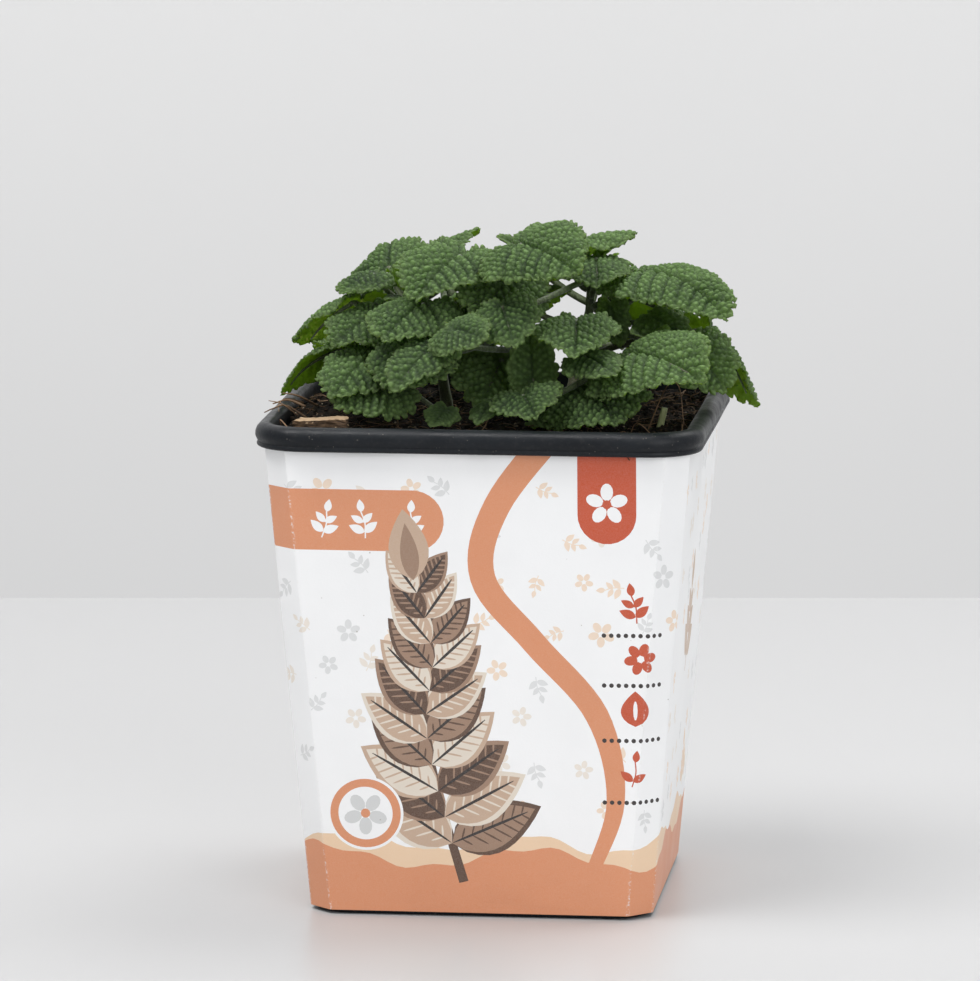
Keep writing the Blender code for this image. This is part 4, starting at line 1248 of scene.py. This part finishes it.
class Growth:
    """Points, faces and surface values of one grown piece, gathered part by part."""

    def __init__(self):
        self.points, self.faces, self.finish = [], [], []
        self.values = {"crest": [], "vein": [], "rim": [], "tone": []}
        self.count = 0

    def add(self, points, faces, finish, tone, **values):
        self.points.append(points)
        self.faces += [tuple(int(corner) + self.count for corner in face) for face in faces]
        self.finish += [finish] * len(faces) if isinstance(finish, int) else list(finish)
        values["tone"] = tone
        for name, kept in self.values.items():
            kept.append(np.broadcast_to(values.get(name, 0.0), len(points)))
        self.count += len(points)

    def add_leaf(self, blade, path, seed):
        """A blade as a closed shell, with its petiole and the raised midrib that runs on under it."""
        rng = np.random.default_rng(seed)
        tone = rng.uniform()
        loop, swell = margin(blade, rng)
        parts, faces, finish = [], [], []
        values = {"crest": [], "vein": [], "rim": []}
        count = len(loop)
        total = 0
        for spacing, side in ((LEAF_GRID, 1), (LEAF_UNDER_GRID, -1)):
            flat, triangles = fill_outline(loop, spacing, 0.30, seed * 17)
            height, crest, vein, rim, from_edge = relief(blade, flat, loop, swell, seed)
            thick = LEAF_HALF_THICKNESS * np.sqrt(np.clip(from_edge / 0.5, 0, 1))
            points = blade.place(flat[:, 0], flat[:, 1], height + side * thick)
            kept = points if side > 0 else points[count:]
            shift = total - count
            if side < 0:
                triangles = np.where(triangles < count, triangles, triangles + shift)[:, ::-1]
            parts.append(kept)
            faces += triangles.tolist()
            finish += [0 if side > 0 else 1] * len(triangles)
            for name, value in (("crest", crest), ("vein", vein), ("rim", rim)):
                values[name].append(value if side > 0 else value[count:])
            total += len(kept)
        values = {name: np.concatenate(value) for name, value in values.items()}
        self.add(np.concatenate(parts), faces, finish, tone, **values)
        steps = 8
        along = np.linspace(0.04, 0.82, steps) * blade.length
        thick = PETIOLE_RADIUS * (0.8 + 0.4 * min(1.0, blade.width / 30))
        thin = np.linspace(0.8, 0.25, steps) * thick
        trough = 1.0 * min(1.0, blade.width / 26)
        ridge = blade.place(np.zeros(steps), along, -trough - LEAF_HALF_THICKNESS - 0.6 * thin)
        radii = np.concatenate([np.linspace(1.15, 1.0, len(path)) * thick, thin])
        points, faces = sweep(np.concatenate([path, ridge]), radii, PETIOLE_SIDES, 1.04, blade.side)
        self.add(points, faces, 2, tone)

    def build(self, name, materials):
        piece = build_piece(name, np.concatenate(self.points), self.faces, materials, True, self.finish)
        for label, kept in self.values.items():
            layer = piece.data.attributes.new(label, "FLOAT", "POINT")
            layer.data.foreach_set("value", np.concatenate(kept).astype(np.float32))
        return piece


def leaf_surface(name, dark, light, rim_colour, through, glow, depth):
    """A leaf face: painted shade in the veins and painted highlight on the crests, soft with fine hairs, lit
    through.
    """
    skin = Surface(name, 0.6, Specular_IOR_Level=0.3, Sheen_Weight=0.04, Sheen_Roughness=0.5)
    skin.shader.inputs["Sheen Tint"].default_value = (0.80, 0.95, 0.80, 1.0)
    crest, vein, rim, tone = (skin.attribute(label) for label in ("crest", "vein", "rim", "tone"))
    cloud = skin.group(MOTTLE, Scale=120, Detail=4, Low=-0.15, High=0.20)
    # Painted highlight and shade: the crests are mixed towards the light colour and the hollows between them
    # towards the dark one; the cloud and the leaf's tone add random variation
    lift = skin.maths("ADD", skin.maths("MULTIPLY", crest, 0.90), cloud)
    lift = skin.maths("ADD", lift, skin.maths("MULTIPLY", tone, 0.18))
    body = skin.mix(lift, dark, light)
    # Painted shade: the sunken veins and the midrib are darkened further
    body = skin.mix(skin.maths("MULTIPLY", vein, 0.35), body, dark)
    body = skin.mix(skin.maths("MULTIPLY", rim, 0.50), body, rim_colour)
    # Pale hairs, kept to the crests only, so that they lighten them as more painted highlight
    hairs = skin.maths("MULTIPLY", skin.group(MOTTLE, Scale=2600, Detail=3, Low=-0.1, High=0.30), crest)
    body = skin.mix(hairs, body, tuple(min(1.0, 1.8 * value) for value in light[:3]) + (1.0,))
    skin.wire(Base_Color=body, Roughness=skin.group(MOTTLE, Scale=800, Detail=3, Low=0.50, High=0.75))
    fine = skin.group(MOTTLE, Scale=1100, Detail=4, Low=0, High=1)
    fuzz = skin.group(MOTTLE, Scale=3800, Detail=2, Low=0, High=1)
    normal = skin.bump((fine, depth), (fuzz, 0.05))
    shine = skin.add("ShaderNodeBsdfTranslucent", {"Color": glow, "Normal": normal})
    both = skin.add("ShaderNodeMixShader", {0: through, 1: skin.shader.outputs[0], 2: shine.outputs[0]})
    skin.tree.links.new(both.outputs[0], skin.output.inputs["Surface"])
    return skin.material


def green_stalk():
    stalk = Surface("green_stalk", 0.6, Sheen_Weight=0.4, Sheen_Roughness=0.4)
    stalk.shader.inputs["Sheen Tint"].default_value = (0.85, 0.95, 0.80, 1.0)
    streaks = stalk.group(MOTTLE, Vector=stalk.stretched((3.0, 3.0, 0.6)), Scale=420, Detail=4, Low=0, High=1)
    body = stalk.mix(streaks, (0.030, 0.038, 0.016, 1.0), (0.105, 0.145, 0.055, 1.0))
    blush = stalk.group(MOTTLE, Scale=55, Detail=3, Low=-0.5, High=0.6)
    body = stalk.mix(blush, body, (0.075, 0.045, 0.030, 1.0))
    hairs = stalk.group(MOTTLE, Scale=3000, Detail=2, Low=-0.2, High=0.35)
    stalk.wire(
        Base_Color=stalk.mix(hairs, body, (0.26, 0.32, 0.20, 1.0)),
        Roughness=stalk.group(MOTTLE, Scale=600, Detail=3, Low=0.45, High=0.7),
    )
    stalk.bump((streaks, 0.12), (hairs, 0.08))
    return stalk.material


def stem_path(name):
    (x, y), middle, tip = STEMS[name]
    foot = (x, y, soil_height(x, y) - 1.0)
    return np.array(smooth_path([foot, middle, tip], STEM_STEPS))


# In each leaf face, dark is the painted shade of the veins and hollows and light the painted highlight of the
# crests
LEAF_FINISHES = [
    leaf_surface(
        "leaf_upper",
        dark=(0.004, 0.014, 0.004, 1.0),
        light=(0.145, 0.232, 0.080, 1.0),
        rim_colour=(0.200, 0.270, 0.100, 1.0),
        through=0.28,
        glow=(0.40, 0.68, 0.10, 1.0),
        depth=0.20,
    ),
    leaf_surface(
        "leaf_under",
        dark=(0.055, 0.100, 0.018, 1.0),
        light=(0.110, 0.180, 0.036, 1.0),
        rim_colour=(0.180, 0.250, 0.070, 1.0),
        through=0.50,
        glow=(0.80, 0.95, 0.18, 1.0),
        depth=0.15,
    ),
    green_stalk(),
]
# Young leaves at the growing tips: stem, height on it, joint, tip, way the upper face looks, width, fold
# and droop
YOUNG_LEAVES = (
    ("stem_left_back", 168, (-24, -6, 170), (-28, -10, 176), (-1, -2, 1), 6, 40, 30),
    ("stem_left_back", 168, (-20, -6, 172), (-15, -8, 176), (1, -2, 1), 5, 45, 30),
    ("stem_left_back", 160, (-25, -7, 166), (-30, -14, 166), (-1, -2, 3), 8, 20, 35),
    ("stem_left_back", 163, (-22, -9, 168), (-21, -16, 166), (0, -2, 3), 7, 20, 35),
    ("stem_right_back", 170, (28, -1, 176), (33, -5, 181), (-1, -2, 2), 8, 40, 35),
    ("stem_right_back", 171, (24, 0, 176), (20, -2, 181), (1, -2, 2), 6, 45, 30),
    ("stem_right_back", 152, (32, -4, 164), (35, -5, 153), (-1, -4, 1), 10, 15, 30),
    ("stem_right_back", 158, (44, -8, 162), (54, -14, 156), (0, -2, 3), 15, 10, 35),
    ("stem_middle", 176, (6, -10, 181), (1, -14, 184), (0, -2, 3), 7, 35, 30),
    ("stem_right_front", 151, (45, -16, 157), (50, -20, 160), (0, -2, 3), 7, 35, 30),
    ("stem_right_front", 152, (42, -18, 157), (39, -23, 159), (0, -2, 3), 6, 35, 30),
    ("stem_left_front", 149, (-39, -14, 153), (-44, -19, 155), (0, -2, 3), 7, 35, 30),
    ("stem_rear_left", 162, (-19, 35, 167), (-23, 39, 171), (-1, 2, 3), 8, 35, 30),
    ("stem_rear_left", 163, (-15, 36, 168), (-11, 40, 171), (1, 2, 3), 7, 35, 30),
    ("stem_rear_right", 164, (26, 39, 169), (30, 43, 173), (1, 2, 3), 8, 35, 30),
    ("stem_rear_right", 165, (22, 39, 170), (18, 43, 173), (-1, 2, 3), 7, 35, 30),
)
stem_paths = {name: stem_path(name) for name in STEMS}
for order, (name, path) in enumerate(stem_paths.items()):
    grown = Growth()
    share = np.linspace(0, 1, len(path))
    radii = STEM_FOOT_RADIUS + (STEM_TIP_RADIUS - STEM_FOOT_RADIUS) * share
    radii = radii * (1 + 0.10 * np.sin(share * 16 + order) ** 8)
    grown.add(*sweep(path, radii, STEM_SIDES, STEM_SQUARE, (1, 0, 0)), 2, 0.5)
    for row, (stem, height, base, tip, face, width, fold, droop) in enumerate(YOUNG_LEAVES):
        if stem == name:
            young = Blade(base, tip, face, width, fold, droop)
            grown.add_leaf(young, petiole_path(young, path, height, 0), YOUNG_SEED + row)
    piece = grown.build("grown_" + name, LEAF_FINISHES)
    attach(piece, "root")
    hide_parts(name)

stump_foot = Vector((*STUMP_FOOT, soil_height(*STUMP_FOOT) - 1.0))
stump = Growth()
stump_path = [tuple(stump_foot + Vector(STUMP_LEAN) * share) for share in np.linspace(0, 1.05, 7)]
stump.add(*sweep(stump_path, np.linspace(1.1, 0.9, 7), STEM_SIDES, STEM_SQUARE, (1, 0, 0)), 0, 0.5)


CUT_STALK = streaky(
    "cut_stalk",
    (0.16, 0.19, 0.075),
    (0.34, 0.36, 0.18),
    420,
    5,
    (600, 0.5, 0.75),
    0.15,
    (4, 4, 0.6),
    Sheen_Weight=0.2,
)
stump_piece = stump.build("cut_stump", [CUT_STALK])
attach(stump_piece, "root")
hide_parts("cut_stem")


# Loose strands: twiggy bits and fibres lying over the rim at the left, and long thin roots that stand out of
# the compost at the right. They are round, tapering and brown.
# Each row: radius at the start, then the places it passes through
STRANDS = (
    (0.42, (-51.0, -22.0, 137.4), (-56.0, -21.0, 139.0), (-60.0, -23.0, 138.2)),
    (0.30, (-50.0, -27.0, 135.0), (-55.5, -29.0, 138.6), (-58.5, -34.0, 138.4), (-60.5, -36.0, 137.6)),
    (0.25, (-53.0, -12.0, 137.0), (-57.0, -17.0, 138.8), (-57.8, -27.0, 138.6), (-56.6, -35.0, 137.8)),
    (0.35, (-48.0, -18.0, 137.0), (-53.0, -23.0, 140.5), (-57.0, -25.0, 141.5)),
    (0.22, (-52.0, -30.0, 136.0), (-56.0, -33.0, 139.6), (-60.0, -31.0, 140.2)),
    (0.22, (44.0, -30.0, 132.0), (50.0, -34.0, 146.0), (54.0, -40.0, 147.0), (55.8, -45.0, 137.0)),
    (0.18, (53.0, -46.0, 132.0), (56.2, -48.0, 134.5), (56.0, -30.0, 134.0)),
    (0.20, (40.0, -38.0, 132.0), (43.0, -44.0, 137.5), (49.0, -47.0, 133.0)),
    (0.25, (-50.0, -50.0, 133.0), (-54.5, -46.0, 137.0), (-55.5, -38.0, 134.0)),
)
strands = Growth()
for radius, *knots in STRANDS:
    path = smooth_path(knots, 8)
    strands.add(*sweep(path, np.linspace(radius, radius * 0.45, len(path)), 6, 1.1, (0.2, 0.3, 1)), 0, 0.5)
loose_strands = strands.build("loose_strands", [LOOSE_FIBRE])
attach(loose_strands, "root")


# Leaves: heart-shaped blades with round teeth, deeply puckered between sunken veins, grey-green and velvety
# above and yellower below. Each grows with its own petiole from a stem.
# Each row: stem, height of the petiole on it, joint, tip, way the upper face looks, width, fold of each half
# in degrees, droop along the midrib in degrees, sideways sway of the petiole
LEAVES = {
    "leaf_left_low_hanging": ("stem_left_back", 152, (-41, 0, 165), (-57, 13, 149), (-2, 2, 3), 26, 5, 30, 3),
    "leaf_left_small": ("stem_left_back", 160, (-34, -6, 173), (-42, -16, 168), (-1, -2, 4), 16, 5, 40, 3),
    "leaf_left_shoulder": ("stem_left_back", 158, (-32, 10, 173), (-34, 34, 177), (-1, 0, 3), 26, 5, 20, 0),
    "leaf_left_crest": ("stem_left_back", 167, (-20, -2, 178), (-7, 13, 183), (-1, 2, 5), 19, 5, 20, 0),
    "leaf_left_top": ("stem_left_back", 166, (-9, -14, 179), (-19, -33, 168), (-1, -3, 3), 29, 24, 35, 0),
    "leaf_left_middle": (
        "stem_left_front", 148, (-31, -14, 163), (-43, -25, 155), (-1, -2, 3), 28, 10, 30, 0
    ),
    "leaf_left_broad": ("stem_left_back", 154, (-18, -24, 167), (-27, -41, 158), (-1, -3, 3), 28, 10, 35, 0),
    "leaf_middle_green": ("stem_middle", 165, (5, -18, 174), (-2, -31, 163), (0, -4, 2), 28, 10, 35, 0),
    "leaf_left_drooping": ("stem_left_front", 148, (-45, 0, 151), (-60, -6, 138), (-2, 2, 3), 18, 5, 60, 0),
    "leaf_left_wide": ("stem_left_front", 146, (-31, -21, 153), (-41, -40, 142), (-1, -3, 3), 28, 10, 40, 0),
    "leaf_left_dark": ("stem_left_back", 147, (-19, -33, 156), (-24, -46, 145), (-1, -4, 2), 26, 12, 30, 0),
    "leaf_left_smooth": ("stem_middle", 154, (-13, -40, 157), (-23, -52, 146), (-1, -3, 4), 18, 24, 35, -3),
    "leaf_left_rim": ("stem_left_front", 140, (-27, -29, 146), (-41, -40, 140), (0, -3, 4), 24, 8, 30, 0),
    "leaf_middle_curled": ("stem_middle", 162, (-2, -16, 164), (-14, -32, 158), (0, -2, 3), 23, 12, 30, 0),
    "leaf_middle_low": ("stem_middle", 150, (-8, -45, 163), (3, -55, 161), (0, -3, 3), 18, 10, 30, -9),
    "leaf_middle_shaded": ("stem_middle", 146, (3, -18, 151), (-2, -27, 138), (0, -4, 2), 28, 10, 30, 0),
    "leaf_front_small_left": (
        "stem_left_front", 143, (-10, -40, 140), (-13, -48, 136), (0, -3, 2), 10, 10, 20, 0
    ),
    "leaf_front_small_middle": (
        "stem_right_front", 138, (3, -36, 142), (0, -50, 137), (-1, -3, 2), 12, 10, 30, 3
    ),
    "leaf_crown_front": ("stem_middle", 172, (9, -27, 184), (28, -49, 178), (0, -4, 4), 29, 18, 40, 0),
    "leaf_crown_top": ("stem_middle", 174, (7, 1, 181), (19, -8, 183), (0, 0, 5), 22, 6, 30, 0),
    "leaf_right_crest": ("stem_right_back", 168, (20, 2, 180), (33, 21, 180), (-1, 3, 5), 32, 5, 25, 0),
    "leaf_right_hooded": ("stem_right_back", 166, (28, -6, 178), (30, -22, 172), (0, -3, 3), 20, 5, 35, 0),
    "leaf_right_top": ("stem_right_back", 163, (42, -6, 174), (66, -28, 163), (1, -2, 4), 30, 15, 55, 0),
    "leaf_right_under": ("stem_right_back", 156, (38, 9, 166), (56, 15, 153), (1, 2, 3), 22, 5, 30, 0),
    "leaf_right_hanging": ("stem_right_back", 149, (60, -2, 158), (72, 0, 136), (2, 2, 1), 26, -10, 30, -3),
    "leaf_right_shaded": ("stem_right_back", 155, (56, -21, 155), (66, -27, 144), (1, -3, 2), 22, 18, 35, 0),
    "leaf_right_low": ("stem_right_front", 145, (40, -35, 155), (62, -55, 151), (0, -3, 4), 34, 15, 45, 3),
    "leaf_front_facing": ("stem_right_back", 148, (25, -30, 164), (27, -52, 156), (0, -3, 4), 24, 15, 40, 0),
    "leaf_front_hidden": ("stem_right_front", 147, (28, -38, 155), (38, -52, 151), (0, -2, 3), 16, 10, 30, 3),
    "leaf_front_right": ("stem_right_front", 143, (29, -32, 146), (38, -51, 138), (0, -3, 3), 32, 4, 35, 0),
    "leaf_front_upright": (
        "stem_right_front", 142, (13, -30, 147), (12, -26, 162), (0, -5, 1), 14, 30, 20, 0
    ),
    "leaf_front_folded": (
        "stem_right_front", 151, (12, -46, 145), (17, -58, 140), (0, -3, 3), 20, 25, 30, -9
    ),
    "leaf_middle_upper": ("stem_right_back", 170, (5, -35, 168), (10, -47, 158), (0, -4, 2), 20, 10, 30, -9),
    "leaf_back_lit": ("stem_right_back", 156, (6, 7, 167), (19, 11, 166), (0, 3, 4), 18, 0, 20, 0),
    "leaf_rim_dark": ("stem_middle", 143, (19, -21, 137), (23, -39, 134), (0, -3, 3), 18, 16, 30, 6),
    "leaf_rear_left_top": ("stem_left_back", 155, (-22, 38, 168), (-40, 56, 158), (-1, 1, 4), 34, 5, 40, 0),
    "leaf_rear_middle_top": ("stem_rear_right", 160, (6, 40, 174), (-2, 62, 166), (0, 1, 4), 34, 5, 40, 0),
    "leaf_rear_right_top": ("stem_rear_right", 158, (36, 35, 170), (56, 51, 160), (1, 1, 4), 34, 5, 40, 0),
    "leaf_rear_left_low": ("stem_rear_left", 146, (-34, 30, 154), (-56, 42, 144), (-1, 1, 3), 32, 5, 40, 0),
    "leaf_rear_middle_low": ("stem_rear_left", 150, (-6, 44, 150), (-14, 66, 142), (0, 1, 3), 32, 5, 40, 0),
    "leaf_rear_right_low": ("stem_rear_right", 147, (40, 36, 152), (62, 50, 142), (1, 1, 3), 32, 5, 40, 0),
    "leaf_rear_corner": ("stem_rear_right", 149, (18, 48, 152), (24, 70, 142), (0, 1, 3), 28, 5, 40, 0),
    "leaf_rear_inner": ("stem_rear_left", 152, (-4, 18, 166), (-6, 36, 160), (0, 1, 4), 26, 5, 30, 0),
}
for order, (name, row) in enumerate(LEAVES.items()):
    stem, height, base, tip, face, width, fold, droop, sway = row
    blade = Blade(base, tip, face, width, fold, droop)
    grown = Growth()
    grown.add_leaf(blade, petiole_path(blade, stem_paths[stem], height, sway), order + 1)
    leaf = grown.build("grown_" + name, LEAF_FINISHES)
    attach(leaf, "root")
    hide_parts(name)


# Stage: a plain pale table with a pale backdrop behind it, soft light from the left and above with a back
# light through the leaves, and the camera.
CAMERA_AZIMUTH = 6.39
CAMERA_ELEVATION = 8.86
CAMERA_AWAY_M = 2.0
CAMERA_LENS = 263.0
CAMERA_AIM_M = (-0.0022, 0.1114)
TABLE_BEHIND_M = 0.473


def stage_surface(name, colour, roughness):
    """A plain surface, clear from behind so that the object shows from every side."""
    plain = Surface(name, roughness)
    cloud = plain.group(MOTTLE, Scale=3, Detail=3, Low=0.98, High=1.0)
    shade = plain.add("ShaderNodeCombineColor", {0: cloud, 1: cloud, 2: cloud}).outputs[0]
    plain.wire(Base_Color=plain.mix(1.0, colour, shade, "MULTIPLY"))
    clear = plain.add("ShaderNodeBsdfTransparent").outputs[0]
    behind = plain.add("ShaderNodeNewGeometry").outputs["Backfacing"]
    both = plain.add("ShaderNodeMixShader", {0: behind, 1: plain.shader.outputs[0], 2: clear})
    plain.tree.links.new(both.outputs[0], plain.output.inputs["Surface"])
    return plain.material


azimuth, elevation = math.radians(CAMERA_AZIMUTH), math.radians(CAMERA_ELEVATION)
camera_right = Vector((math.cos(azimuth), math.sin(azimuth), 0))
camera_back = Vector(
    (math.sin(azimuth) * math.cos(elevation), -math.cos(azimuth) * math.cos(elevation), math.sin(elevation))
)
camera_up = camera_back.cross(camera_right)
away = Vector((-math.sin(azimuth), math.cos(azimuth), 0))


def build_stage(name, corners, colour, roughness):
    mesh = bpy.data.meshes.new(name)
    mesh.from_pydata(corners, [], [tuple(range(len(corners)))])
    mesh.materials.append(stage_surface(name, colour, roughness))
    made = bpy.data.objects.new(name, mesh)
    bpy.context.scene.collection.objects.link(made)
    made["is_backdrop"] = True


edge = away * TABLE_BEHIND_M
aside, front = 3 * camera_right, edge - 4 * away
build_stage(
    "table",
    [front - aside, front + aside, edge + aside, edge - aside],
    (0.455, 0.455, 0.46, 1.0),
    0.36,
)
wall = edge + 0.3 * away
build_stage(
    "backdrop",
    [
        wall - aside - Vector((0, 0, 1)),
        wall + aside - Vector((0, 0, 1)),
        wall + aside + Vector((0, 0, 3)),
        wall - aside + Vector((0, 0, 3)),
    ],
    (0.695, 0.695, 0.695, 1.0),
    0.85,
)


def add_light(name, place, aim, size, power, colour):
    lamp = bpy.data.lights.new(name, "AREA")
    lamp.shape = "DISK"
    lamp.size = size
    lamp.energy = power
    lamp.color = colour
    made = bpy.data.objects.new(name, lamp)
    made.location = place
    made.rotation_euler = (Vector(aim) - Vector(place)).to_track_quat("-Z", "Y").to_euler()
    bpy.context.scene.collection.objects.link(made)


add_light("key_light", (-0.6, -0.45, 1.7), (0, 0, 0.1), 1.1, 26, (1.0, 0.995, 0.985))
add_light("fill_light", (1.0, -1.5, 0.8), (0, 0, 0.08), 1.4, 13, (0.99, 0.995, 1.0))
add_light("back_light", (0.5, 0.42, 1.3), (0, 0, 0.14), 0.9, 10, (1.0, 1.0, 0.99))
world = bpy.data.worlds.new("soft_room")
world.use_nodes = True
world.node_tree.nodes["Background"].inputs[0].default_value = (0.98, 0.985, 1.0, 1.0)
world.node_tree.nodes["Background"].inputs[1].default_value = 0.50
bpy.context.scene.world = world
bpy.context.scene.view_settings.view_transform = "Standard"

lens = bpy.data.cameras.new("camera")
lens.sensor_width = 36.0
lens.lens = CAMERA_LENS
lens.clip_start, lens.clip_end = 0.1, 20.0
camera = bpy.data.objects.new("camera", lens)
aim = camera_right * CAMERA_AIM_M[0] + Vector((0, 0, CAMERA_AIM_M[1]))
axes = Matrix((camera_right, camera_up, camera_back)).transposed().to_4x4()
camera.matrix_world = Matrix.Translation(aim + camera_back * CAMERA_AWAY_M) @ axes
bpy.context.scene.collection.objects.link(camera)
bpy.context.scene.camera = camera

sizes = {"cad": cad_box, "visual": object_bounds()}
sizes = {label: [list(corner) for corner in box] for label, box in sizes.items()}
